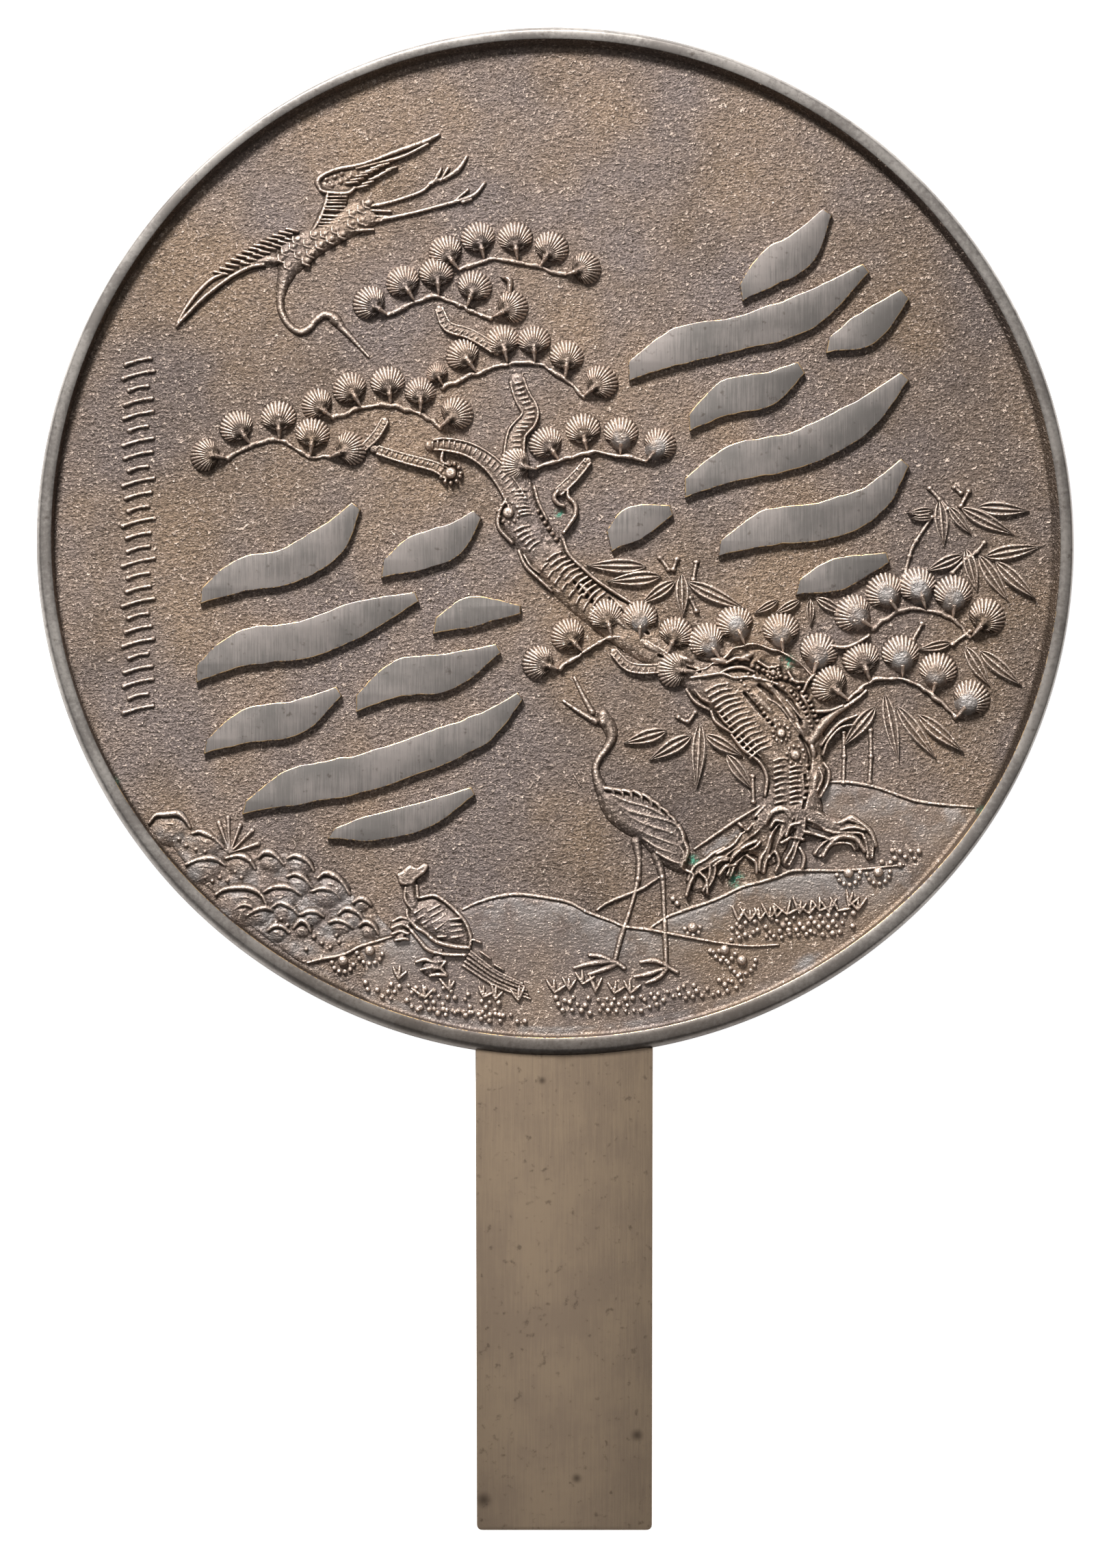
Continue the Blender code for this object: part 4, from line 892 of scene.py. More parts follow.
# Each bough's tufts, as (x, y, the way it points in degrees, size, how far the trunk lifts it)
BOUGHS = {
    "crown": [
        (-25.1, 67.5, 130, 1, 0), (-17.7, 70.6, 109, 1, 0), (-9.2, 70.6, 95, 1, 0), (-1.1, 68.4, 59, 1, 0),
        (6.7, 63.9, 15, 0.95, 0),
    ],
    "upper": [
        (-42.6, 55.8, 150, 1, 0), (-35, 60.5, 120, 1, 0), (-27.4, 62.5, 95, 1, 0.2),
        (-18.8, 59.4, 70, 1, 0.2), (-10.3, 54.9, 30, 0.97, 0),
    ],
    "middle": [
        (-27.2, 39.4, 115, 0.62, 0), (-21.1, 43.7, 125, 1, 0), (-12.1, 46.8, 103, 1, 0.2),
        (-4.9, 46.8, 95, 0.95, 0.1), (2.7, 43.2, 85, 1, 0), (10.3, 37.4, 40, 1, 0),
    ],
    "inner": [
        (-54.8, 32.3, 140, 0.95, 0), (-47.3, 35.8, 122, 1, 0), (-38.7, 37.2, 95, 1, 0),
        (-31.2, 35, 88, 0.92, 0), (-23.1, 30.2, 40, 1, 0),
    ],
    "outer": [
        (-80.4, 20.7, 170, 0.95, 0), (-73.4, 26.9, 128, 1, 0), (-64, 29.1, 95, 1.02, 0),
        (-56.2, 25.3, 82, 1, 0), (-47.8, 22.1, 20, 1, 0),
    ],
    "right": [
        (-8.8, 18.5, 170, 0.98, 1.2), (-1.9, 23.2, 130, 1, 0), (6.5, 26.2, 100, 1.02, 0),
        (15.2, 25.5, 88, 1, 0), (24, 23, 50, 0.98, 0),
    ],
    "low": [
        (-3.4, -27.4, 165, 1, 0), (3.2, -21.2, 130, 1, 0.3), (11.8, -16.7, 105, 1, 1.1),
        (19.6, -17.1, 90, 1, 1.1), (27.8, -20.8, 70, 1, 0.9),
    ],
    "fork": [
        (27.8, -29, 175, 1.01, 1.1), (35.2, -22.5, 125, 1.06, 0.8), (41.7, -18.4, 115, 1.08, 0.2),
        (52.3, -20, 98, 1.06, 0.1), (61, -25, 75, 1.11, 0.5),
    ],
    "far": [
        (69.2, -16.1, 145, 1.12, 0), (76.4, -11.1, 125, 1.12, 0), (84, -9.8, 110, 1.12, 0),
        (92.1, -11.6, 88, 1.12, 0), (99.7, -17, 50, 1.12, 0),
    ],
    "near": [
        (63.7, -32.5, 140, 1.1, 0.7), (71, -26.8, 110, 1.1, 0), (80, -25.5, 95, 1.1, 0),
        (88.5, -29.5, 80, 1.1, 0), (96.1, -35.8, 50, 1.1, 0),
    ],
}
TUFT_NEEDLES = 38
TUFT_RINGS, TUFT_TURNS = 14, 190
TUFT_RADIUS = 4.2
# Its height at the edge and what its dome adds to that, and the height of a needle and of the nub
TUFT_EDGE, TUFT_DOME, NEEDLE_RISE, NUB_RISE = 0.75, 1.55, 0.34, 1.0
# The needles ray from a point between the fan's middle and its foot
TUFT_HINGE = 2.1


def tuft_pattern():
    """One tuft 8.4 mm across that points along +X, as a closed skin rooted below the ground."""
    share = np.linspace(0, 1, TUFT_RINGS + 1)[1:, None] ** 0.7
    turn = (np.arange(TUFT_TURNS) * 2 * math.pi / TUFT_TURNS)[None, :]
    back = np.abs(((turn + math.pi) % (2 * math.pi)) - math.pi)
    reach = TUFT_HINGE * np.cos(turn) + np.sqrt(TUFT_RADIUS**2 - (TUFT_HINGE * np.sin(turn)) ** 2)
    reach -= 1.5 * np.clip((back - 0.75) / 1.0, 0, 1) ** 1.5
    reach += 2.3 * np.clip((back - 2.5) / 0.64, 0, 1) ** 2
    fan = np.clip((2.2 - back) / 0.4, 0, 1)
    needles = fan * (2 * np.abs(np.sin(TUFT_NEEDLES * turn / 2)) ** 0.7 - 1)
    outer = np.clip((share - 0.36) / 0.16, 0, 1)
    radius = reach * share * (1 + 0.045 * needles * np.clip((share - 0.8) / 0.2, 0, 1))
    x, y = radius * np.cos(turn) - TUFT_HINGE, radius * np.sin(turn)
    away = np.clip(np.hypot(x - 0.6, 1.1 * y) / TUFT_RADIUS, 0, 1)
    z = (TUFT_EDGE + TUFT_DOME * (1 - away**2)) * (1 - share**7) ** 0.6
    z += outer * NEEDLE_RISE * needles * (1 - 0.3 * share**8)
    z *= 1 - 0.3 * np.clip((back - 2.1) / 0.6, 0, 1) * share
    below = np.clip((-0.9 - x) / 0.7, 0, 1)
    nub = np.exp(-((y / (0.5 + 0.12 * np.clip(-1.5 - x, 0, 1.5))) ** 4)) * below
    z += NUB_RISE * nub * np.clip((x + 5.4) / 1.6, 0.2, 1) - 0.35 * below * (1 - nub)
    z[-1] = -0.1
    # The nub and the needles' crests are painted bright, and the gaps, the sunk sides of the nub and
    # the fan's back dark: painted highlight and painted shade, besides wear and patina
    wear_and_shading = 0.1 + outer * (0.6 * needles + 0.2) + 0.95 * nub - 0.7 * below * (1 - nub) - 1.3 * (share > 0.99)
    wear_and_shading -= 0.5 * (1 - fan) * share * (1 - nub)
    crest = (-TUFT_HINGE, 0, z[0].mean() + 0.05)
    points = [*np.stack([x, y, z], axis=-1).reshape(-1, 3), crest, (0, 0, -SKIRT)]
    points += [(px, py, -0.8) for px, py in zip(x[-1], y[-1])]
    top, bottom, skirt = TUFT_RINGS * TUFT_TURNS, TUFT_RINGS * TUFT_TURNS + 1, TUFT_RINGS * TUFT_TURNS + 2
    faces = []
    for column in range(TUFT_TURNS):
        after = (column + 1) % TUFT_TURNS
        faces.append((top, column, after))
        for ring in range(TUFT_RINGS - 1):
            start = ring * TUFT_TURNS
            here, there = start + column, start + after
            faces.append((here, here + TUFT_TURNS, there + TUFT_TURNS, there))
        last = (TUFT_RINGS - 1) * TUFT_TURNS
        faces.append((last + column, skirt + column, skirt + after, last + after))
        faces.append((bottom, skirt + after, skirt + column))
    pattern = smooth_mesh("tuft_pattern", points, faces)
    store(pattern, "wear_and_shading", [*np.clip(wear_and_shading, -1, 1).ravel(), 0.4, -1, *np.full(TUFT_TURNS, -1)])
    return pattern


def set_out(name, pattern, places, finish, tilt=0.0, seed=0):
    """Copies a pattern to places (x, y, z, turn in degrees, length, width, height), as one closed piece.

    The copies are instances of a geometry-node tree whose inputs are the pattern, the tilt that each copy may
    take at random and its seed.
    """
    places = np.array(places, float)
    guide = bpy.data.meshes.new(name)
    guide.from_pydata(places[:, :3] * MM, [], [])
    turns = np.column_stack([np.zeros((len(places), 2)), np.radians(places[:, 3])])
    for label, values in (("turn", turns), ("size", places[:, 4:7])):
        stored = guide.attributes.new(label, "FLOAT_VECTOR", "POINT")
        stored.data.foreach_set("vector", values.astype(np.float32).ravel())
    carrier = in_scene(name + "_guide", guide)

    tree = bpy.data.node_groups.new(name, "GeometryNodeTree")
    for label, kind in (("Geometry", "NodeSocketGeometry"), ("Pattern", "NodeSocketObject"),
                        ("Tilt", "NodeSocketFloat"), ("Seed", "NodeSocketInt")):
        tree.interface.new_socket(label, in_out="INPUT", socket_type=kind)
    tree.interface.new_socket("Geometry", in_out="OUTPUT", socket_type="NodeSocketGeometry")
    given = tree.nodes.new("NodeGroupInput")
    given = {socket.name: Signal(tree, socket) for socket in given.outputs if socket.name}
    start = given["Geometry"]
    shape = start.node("GeometryNodeObjectInfo", None, {"Object": given["Pattern"]}, output="Geometry")
    turn, size = (
        start.node("GeometryNodeInputNamedAttribute", {"data_type": "FLOAT_VECTOR"}, {"Name": label})
        for label in ("turn", "size")
    )
    lean = start.node(
        "FunctionNodeRandomValue", {"data_type": "FLOAT_VECTOR"},
        {"Min": (-1, -1, -0.7), "Max": (1, 1, 0.7), "Seed": given["Seed"]},
    )
    lean = lean.node("ShaderNodeVectorMath", {"operation": "SCALE"}, {0: lean, "Scale": given["Tilt"]})
    turn = turn.node("ShaderNodeVectorMath", {"operation": "ADD"}, {0: turn, 1: lean})
    copies = start.node(
        "GeometryNodeInstanceOnPoints", None,
        {"Points": start, "Instance": shape, "Rotation": turn, "Scale": size},
    )
    solid = copies.node("GeometryNodeRealizeInstances", None, {"Geometry": copies})
    dressed = solid.node("GeometryNodeSetMaterial", None, {"Geometry": solid, "Material": finish})
    tree.links.new(dressed.output, tree.nodes.new("NodeGroupOutput").inputs[0])

    modifier = carrier.modifiers.new(name, "NODES")
    modifier.node_group = tree
    values = {"Pattern": pattern, "Tilt": math.radians(tilt), "Seed": seed}
    for item in tree.interface.items_tree:
        if item.in_out == "INPUT" and item.name in values:
            modifier[item.identifier] = values[item.name]
    carrier.update_tag()
    evaluated = carrier.evaluated_get(bpy.context.evaluated_depsgraph_get())
    piece = in_scene(name, bpy.data.meshes.new_from_object(evaluated))
    piece.data.shade_smooth()
    for used in (carrier, pattern):
        bpy.data.objects.remove(used)
    return piece


# What a lift of 1 adds to a tuft's place above the ground, in mm, and the share of its height that it takes
TUFT_LIFTED, TUFT_FLATTENED = 0.6, 0.22
# How many tufts the first five boughs hold: they make one piece, and the other five boughs another
UPPER_TUFTS = 26
tuft_places = [
    (x, y, GROUND + TUFT_LIFTED * lift, turn, size, size, 1 - TUFT_FLATTENED * lift)
    for bough in BOUGHS.values() for x, y, turn, size, lift in bough
]
for part, places in (("upper", tuft_places[:UPPER_TUFTS]), ("lower", tuft_places[UPPER_TUFTS:])):
    tufts = set_out("pine_tufts_" + part, tuft_pattern(), places, cast_bronze, tilt=5, seed=5)
    on_mirror(tufts)


# The pine's twigs: one thin arched stem under each bough's tufts, uneven and knobbly, that ties their nubs
# together. Cast with the plate, as a cord through the foot of each tuft.

# How far a tuft's foot lies from its middle, and each bough's twig's width
TUFT_REACH = 4.9
TWIG_WIDTHS = {"fork": 0.7}
USUAL_TWIG = 1.35


def make_twigs():
    twigs = Mould(-86, -44, 106, 74)
    for name, bough in BOUGHS.items():
        stalks = [
            (*((x, y) - TUFT_REACH * size * heading(turn)), TWIG_WIDTHS.get(name, USUAL_TWIG), lift)
            for x, y, turn, size, lift in bough
        ]
        path = smooth_path([stalk[:3] for stalk in stalks])
        path[:, 0] += 0.4 * grain(*path[:, :2].T, 1.7, 14)
        path[:, 1] += 0.4 * grain(*path[:, :2].T, 1.7, 15)
        path[:, 2] *= 1 + 0.45 * grain(*path[:, :2].T, 1.3, 16)
        twigs.ridge(path[::2], 0.85, base=max(stalk[3] for stalk in stalks) * 0.6, taper=0.5)
    return twigs.cast("pine_twigs")


twigs = make_twigs()
on_mirror(twigs)


# The filed crowns: the tufts on the right stood highest, so the file that dressed the broad strokes took
# their tops off too, and left a pale dusty flat on each. Each flat is a low boss that just breaks through
# its tuft.

# How far behind its tuft's middle each flat sits, its size on a tuft of the usual size, and its height
CROWN_BACK, CROWN_LENGTH, CROWN_WIDTH, CROWN_TOP = 0.2, 7.0, 6.0, 2.42
CROWN_WORN, CROWN_DUST = 0.26, 1.0
# Which tufts of which boughs have one
CROWNED = [
    ("right", (3, 4)), ("low", (3,)), ("fork", (1, 2, 3, 4)), ("far", (0, 1, 2, 3)), ("near", (2, 3, 4)),
]


def make_crowns():
    crowns = Mould(0, -48, 106, 36, step=0.25)
    for name, chosen in CROWNED:
        for x, y, turn, size, lift in (BOUGHS[name][number] for number in chosen):
            x, y = (x, y) - CROWN_BACK * heading(turn)
            crowns.dome(x, y, CROWN_LENGTH * size, CROWN_WIDTH * size, turn, CROWN_TOP + 0.1 * lift, power=4)
    crowns.dust[:] = CROWN_DUST
    piece = crowns.cast("filed_crowns")
    wear_and_shading = np.full(len(piece.data.vertices), CROWN_WORN, np.float32)
    piece.data.attributes["wear_and_shading"].data.foreach_set("value", wear_and_shading)
    return piece


crowns = make_crowns()
on_mirror(crowns)


# Two groups of broad brush strokes that sweep up to the right, cast proud and filed flat on top, with crisp
# edges. They fill the open field to the right of the pine's crown and below its long left bough.

# Each stroke's spine, as (x, y, width)
BROAD_STROKES = [
    [(43, 58, 3), (50, 64, 8.5), (57, 68.5, 8), (63, 77, 2.5)],
    [(17, 40, 4), (29, 46, 8.5), (43, 49, 8), (58, 54, 8.5), (72, 64, 2.5)],
    [(63, 46, 3), (72, 50, 8), (81, 58, 3)], [(31, 28, 3), (40, 34, 8), (49, 36, 8), (57, 41, 3)],
    [(30, 13, 4), (42, 19, 8.5), (56, 22, 8.5), (70, 29, 8), (81, 39, 2.5)],
    [(12.5, 0.5, 4), (18.5, 5, 8), (27, 8, 2.5)],
    [(38, -1, 3), (50, 4, 8.5), (62, 5.5, 9), (73, 10, 7.5), (81, 19, 2.5)],
    [(56, -10, 3), (65, -7, 7.5), (77, -3, 2.5)],
    [(-82, -12, 3), (-72, -7, 8), (-62, -5, 8.5), (-52, 1, 8), (-46, 9, 2.5)],
    [(-40, -6, 3), (-32, -2, 8.5), (-24, 1, 7.5), (-18, 7, 2.5)],
    [(-83, -30, 3.5), (-72, -24, 8.5), (-58, -22, 8.5), (-45, -17, 8), (-32, -12, 2.5)],
    [(-28, -19, 3), (-19, -15.5, 7), (-8, -15, 2)],
    [(-81, -47, 2.5), (-71, -42, 8), (-60, -40, 8), (-50, -34, 2.5)],
    [(-46, -37, 3), (-36, -31, 8.5), (-25, -29.5, 8.5), (-13, -24, 2.5)],
    [(-72, -61, 2.5), (-60, -56, 8.5), (-45, -53, 9), (-30, -48, 8.5), (-17, -42.5, 7), (-8, -35, 2)],
    [(-52, -67, 2), (-42, -65.5, 6), (-30, -62.5, 6), (-19, -57, 2)],
]
# How high a stroke stands, how deep it is rooted in the plate, and its eased edge
STROKE_RISE, STROKE_ROOT, STROKE_EDGE = 1.4, 1, 0.22
stroke_bronze = filed_finish(
    "filed strokes", (linear(110, 105, 101), linear(138, 130, 125)), (3.2, 0.10, 1), []
)


def make_strokes():
    curve = bpy.data.curves.new("broad_strokes", "CURVE")
    curve.dimensions = "2D"
    curve.fill_mode = "BOTH"
    curve.extrude = (STROKE_RISE + STROKE_ROOT) / 2 * MM - STROKE_EDGE * MM
    curve.bevel_depth = STROKE_EDGE * MM
    curve.bevel_resolution = 2
    curve.offset = -STROKE_EDGE * MM
    for number, points in enumerate(BROAD_STROKES):
        path = smooth_path(points, 1.0)
        path[:, 2] *= 1 + 0.05 * grain(path[:, 0], path[:, 1], 3.1, number)
        left, right = beside(path, 0.5), beside(path, -0.5)
        slant = (path[1, :2] - path[0, :2]) * 0.9
        left[0] += slant
        right[0] -= slant
        outline = np.vstack([left, right[::-1]])
        outline += 0.10 * sway(outline, 1.4, 8)
        spline = curve.splines.new("POLY")
        spline.points.add(len(outline) - 1)
        for target, (x, y) in zip(spline.points, outline * MM):
            target.co = (x, y, 0, 1)
        spline.use_cyclic_u = True
    guide = in_scene("stroke_guide", curve)
    evaluated = guide.evaluated_get(bpy.context.evaluated_depsgraph_get())
    mesh = bpy.data.meshes.new_from_object(evaluated)
    bpy.data.objects.remove(guide)
    strokes = bmesh.new()
    strokes.from_mesh(mesh)
    bmesh.ops.remove_doubles(strokes, verts=strokes.verts, dist=0.002 * MM)
    bmesh.ops.recalc_face_normals(strokes, faces=strokes.faces)
    lift = (GROUND + (STROKE_RISE - STROKE_ROOT) / 2) * MM
    bmesh.ops.translate(strokes, verts=strokes.verts, vec=(0, 0, lift))
    strokes.to_mesh(mesh)
    strokes.free()
    mesh.materials.clear()
    for finish in (stroke_bronze, rubbed_and_highlight_bronze, cast_bronze):
        mesh.materials.append(finish)
    for polygon in mesh.polygons:
        polygon.material_index = int(polygon.normal.z < 0.98) + int(polygon.normal.z < 0.3)
    mesh.shade_smooth()
    mesh.set_sharp_from_angle(angle=math.radians(40))
    return in_scene("broad_strokes", mesh)


strokes = make_strokes()
on_mirror(strokes)


# The flying crane: it glides down to the left of the pine's crown with its neck curled under and its legs
# behind. Cast with the plate. Its feathers are fine parallel cords, and its body is covered with small
# scales.

FLYING_BODY = [
    (-64.4, 66), (-64, 63), (-61.5, 61.6), (-58.5, 63.6), (-54, 67.2), (-48, 70.6), (-42.5, 73.2),
    (-40.4, 75.4), (-43.4, 79.4), (-48, 79), (-52, 76), (-57, 73.2), (-61, 71.4), (-64, 69.4),
]
NEAR_WING = [
    (-61, 66), (-64.5, 64.4), (-68, 64), (-72, 63), (-76, 60.4), (-80.5, 56.4), (-84.5, 52.8), (-87.7, 50.4),
    (-86.8, 53.4), (-85, 56.4), (-82.5, 59.4), (-79, 62), (-75.5, 65.2), (-72, 67.7), (-68, 70.5),
    (-64, 72.2), (-60, 72.8),
]
NEAR_WING_EDGE = [(-79.4, 62.6), (-75.2, 65.9), (-71.9, 68.2), (-68.8, 69.8), (-65.5, 71.7), (-61.5, 73.4)]
# Rows of barbs, as two lines that the barbs run between, how many, and their width
BARBS = [
    (NEAR_WING_EDGE, [(x + 2.9, y - 0.5) for x, y in NEAR_WING_EDGE], 13, 0.85),
    ([(-73.4, 65), (-67, 68.9), (-61.6, 71.2)], [(-71, 64.6), (-64.6, 68.4), (-59.4, 70.6)], 8, 0.8),
    ([(-49, 83.2), (-45.6, 85.8), (-40.6, 87.9)], [(-46.2, 83.6), (-42.8, 86.2), (-37.8, 88.6)], 7, 0.75),
    ([(-46.4, 82.3), (-43, 84.5), (-38.4, 87.1)], [(-43.8, 82.9), (-40.4, 85.3), (-36, 87.9)], 6, 0.75),
    ([(-52.7, 80.9), (-53.3, 77.2)], [(-48, 81), (-48.8, 77)], 5, 0.62),
    ([(-53.6, 76.6), (-55, 72.6)], [(-49.4, 76.4), (-50.6, 72.4)], 5, 0.7),
]
FAR_WING = [
    (-54.4, 82.2), (-55.2, 84.2), (-53.4, 86), (-50.5, 87), (-44, 88.4), (-36.5, 91.2), (-30, 93.6),
    (-26.6, 95.2), (-28.8, 92.9), (-35.5, 89.2), (-40, 86.8), (-44, 84), (-47, 81.4), (-52, 81.2),
]
FAR_SHOULDER = [(-52.6, 81.4), (-47.8, 81.4), (-49, 76), (-50, 72), (-56.4, 72)]
FAR_WING_GRAINS = [(-53, 84.6), (-51.6, 83.2), (-51, 85.2), (-49.6, 84), (-49.4, 85.9), (-47.6, 85)]
# The wings' edges and quills and the tail, then the legs and toes, as (x, y, width)
FLYING_CORDS = [
    [(-54.2, 82.2, 1), (-55, 84, 1.4), (-53.6, 85.6, 1.3), (-50.5, 86.9, 1.2), (-44, 88.3, 1.2),
     (-36.5, 91.1, 1.3), (-30, 93.4, 1.5), (-26.8, 95, 0.8)],
    [(-46, 87.1, 0.6), (-40, 88.6, 0.8), (-35, 90, 0.9), (-29.4, 92.8, 0.8)],
    [(-54.4, 82.2, 0.8), (-52.8, 81.6, 0.9), (-48.2, 81.4, 1), (-46.4, 82.6, 0.8)],
    [(-52.6, 81.2, 1), (-53.4, 78, 1.1), (-54.6, 75, 1.2), (-56, 72.8, 1)],
    [(-62.6, 65.6, 1.5), (-66, 66, 2.3), (-69, 65.4, 1.3), (-72, 64.4, 0.8)],
    [(-67.4, 64.9, 0.9), (-70, 64.5, 1.1), (-73, 63.2, 1.1), (-76, 61.4, 1.1), (-79.4, 58.8, 1.1),
     (-82, 56.6, 1.1), (-86, 52.5, 1), (-87.6, 50.6, 0.7)],
    [(-76.4, 62.8, 0.9), (-79.4, 61.5, 1.2), (-82.6, 58.5, 1.2), (-85, 55.4, 1.2), (-87.4, 51.4, 0.8)],
    [(-47, 77.4, 0.9), (-43, 77.4, 0.9), (-38, 77.2, 0.6)],
    [(-46, 76.2, 0.8), (-42, 76, 0.8), (-38.6, 76, 0.5)], [(-48, 74, 0.9), (-44, 74.6, 0.9), (-40, 75, 0.6)],
    [(-48.4, 72.4, 0.9), (-45, 72.8, 1), (-42, 73, 0.6)],
]
FLYING_LEGS = [
    [(-45, 78, 1.4), (-38, 79.4, 0.95), (-31, 81.8, 0.95), (-28.4, 84, 1.1), (-25.6, 84.8, 1),
     (-22.4, 87, 1.3), (-20.5, 89.8, 0.9)],
    [(-28.4, 83.6, 0.8), (-27.2, 85.4, 1.1), (-26.4, 87.2, 0.7)], [(-26.6, 84.2, 0.8), (-24.8, 87.2, 0.9)],
    [(-41, 75.2, 1.2), (-34, 76.6, 0.95), (-27, 78.4, 0.95), (-22.6, 79.6, 1.1), (-18.8, 81, 1.2),
     (-16.3, 83.8, 0.8)],
    [(-23.4, 79.4, 0.8), (-20.2, 82.2, 0.8)], [(-21.4, 79.4, 1.1), (-19.4, 80, 0.8)],
]
FLYING_NECK = [
    (-61.8, 63.6, 4.4), (-63, 60.4, 3.1), (-63.6, 57, 2.1), (-63.2, 53.6, 1.9), (-61.4, 50.7, 1.9),
    (-59.1, 49.3, 1.9), (-57, 50.1, 1.9), (-55.4, 52, 1.9), (-53.4, 53.3, 2), (-51.2, 52.6, 2.3),
    (-49.6, 50.9, 1.8),
]
FLYING_BEAK = [(-49.8, 50.7, 1.9), (-47, 47.8, 1.4), (-43.2, 43.6, 0.7)]
FLYING_SCALES = [
    (-59.6, 70.6), (-57.1, 69.9), (-54.3, 69.5), (-55.5, 71.8), (-51.8, 70.8), (-62.2, 68), (-59.2, 67.2),
    (-57.4, 65.8), (-61.6, 64.8), (-63, 66.4), (-49.2, 72), (-56.4, 67.6), (-53.2, 72), (-46.6, 76.8),
    (-44.6, 77.8), (-43.4, 79), (-46.9, 74.4), (-44.6, 75.2), (-50.6, 73), (-60.4, 69),
]


def make_flying_crane():
    crane = Mould(-90, 42, -14, 97, step=0.18)
    crane.sheet(FAR_WING, 0.35, shoulder=1.2)
    crane.sheet(FAR_SHOULDER, 0.4, shoulder=0.8)
    crane.sheet(NEAR_WING, 0.4, shoulder=1.6)
    crane.sheet(FLYING_BODY, 1.2, shoulder=2.2)
    for first, second, count, width in BARBS:
        crane.comb(first, second, count, width, 0.85, base=0.4, taper=0.3)
    for x, y in FAR_WING_GRAINS:
        crane.dome(x, y, 1.5, 1.1, 30, 0.6, base=0.45, melt=CRISP)
    crane.cords(FLYING_CORDS, 0.75, base=0.4, thicker=1.15)
    crane.cords(FLYING_LEGS, 0.95, taper=0.3, thicker=1.2)
    for x, y in FLYING_SCALES:
        crane.dome(x, y, 3, 2.2, 30, 0.6, power=3, base=0.85, melt=0.03)
        rim = [(x + 0.5, y - 1.2, 0.7), (x - 0.9, y - 0.7, 1), (x - 1, y + 0.6, 0.8)]
        crane.ridge(rim, 0.75, base=1, melt=CRISP)
    crane.ridge(FLYING_NECK, 1.3, taper=0.3)
    crane.dome(-50.9, 52.1, 4, 2.8, -45, 1.4)
    crane.dome(-51.2, 52.4, 1, 1, 0, 0.45, base=1.35)
    crane.ridge(FLYING_BEAK, 1.05, taper=0.4)
    return crane.cast("flying_crane")


flying_crane = make_flying_crane()
on_mirror(flying_crane)


# The standing crane: it calls with its beak open and its head thrown back, on long jointed legs beside the
# trunk. Cast with the plate, with the feathers of its wing one under another and short ones that lap along
# its back.

STANDING_BODY = [
    (9.6, -56), (13, -56.2), (16, -56.8), (20.4, -57.6), (24.4, -60), (27.8, -63.2), (30.2, -66.4),
    (31.2, -70), (30.8, -74), (30, -76.2), (27, -75.4), (24.6, -73.9), (21.8, -71.2), (19.2, -68.6),
    (15, -66.2), (11.6, -63), (10, -59.6),
]
STANDING_NECK = [
    (11.2, -39.4, 2.4), (12.6, -42.2, 3), (13.1, -44.6, 2.3), (12, -47, 1.8), (10.2, -49.4, 1.7),
    (9.4, -51.6, 1.7), (9.7, -54, 2), (10.9, -56.8, 2.8),
]
# Its long feathers, one under another, and the short ones that lap along its back
STANDING_FEATHERS = [
    [(13, -57.8, 0.9), (16.6, -59.4, 1.1), (21, -60.6, 1.1), (24.4, -62.2, 1.1), (26.4, -63.8, 0.8)],
    [(13.2, -58.8, 0.9), (16.8, -61.4, 1.2), (21.8, -62.8, 1.2), (26.2, -63.9, 1.2), (28.2, -65.2, 1),
     (27.8, -66.3, 0.8)],
    [(14, -60, 0.8), (17.8, -63.2, 1.1), (22.6, -65.2, 1.2), (26.6, -66.5, 1.1), (28.4, -67.4, 0.9)],
    [(17.2, -64.6, 0.6), (21, -66.8, 0.9), (25, -68.4, 1), (28.4, -69.6, 0.9)],
    [(20.4, -68, 0.6), (24, -70.2, 0.9), (28, -71.6, 0.8)],
    [(23.4, -71.2, 0.6), (26.6, -73, 0.8), (29.6, -74, 0.6)],
    [(28.6, -65, 0.8), (29.6, -67.6, 1), (29.2, -69.4, 0.8)],
    [(29.4, -67.8, 0.7), (30.6, -70.6, 0.9), (30, -73.2, 0.7)],
    [(28.8, -69.8, 0.8), (29.8, -71.8, 0.9), (29.2, -74.6, 0.7)],
]
STANDING_LAPS = [
    [(11.6, -56.4, 1.2), (13, -56.6, 1.4), (13.6, -57.4, 0.9)],
    [(13.6, -56.6, 1), (15.2, -57, 1.3), (15.8, -58.2, 0.8)],
    [(15.8, -56.8, 1), (17.4, -57.4, 1.4), (17.8, -58.9, 0.8)],
    [(18.2, -57, 1), (19.8, -58, 1.4), (20.1, -59.6, 0.8)],
    [(20.4, -57.8, 1), (22, -59, 1.3), (22.4, -60.5, 0.8)],
    [(22.5, -59.2, 0.9), (24, -60.4, 1.2), (24.4, -61.8, 0.7)],
    [(24.5, -60.8, 0.8), (26, -62, 1.1), (26.4, -63.2, 0.7)],
    [(26.4, -62.6, 0.7), (27.6, -63.8, 1), (28.2, -65.2, 0.6)],
]
STANDING_BEAKS = [
    [(4.5, -30.8, 0.7), (6.3, -34.6, 1), (8.6, -38.8, 1.3)],
    [(2, -36.2, 0.7), (5.4, -38.5, 1.1), (9.4, -40.9, 1.5)],
]
STANDING_LEGS = [
    [(18.8, -68.6, 2), (19.4, -73, 1.3), (19.2, -77.4, 1.2), (18.6, -80, 1), (17.2, -85, 1),
     (15.2, -91, 1.2), (13.9, -96, 1.1)],
    [(23.4, -72, 2), (24.8, -77, 1.3), (25.2, -84, 1), (25.5, -91, 1.2), (25.7, -97, 1)],
]
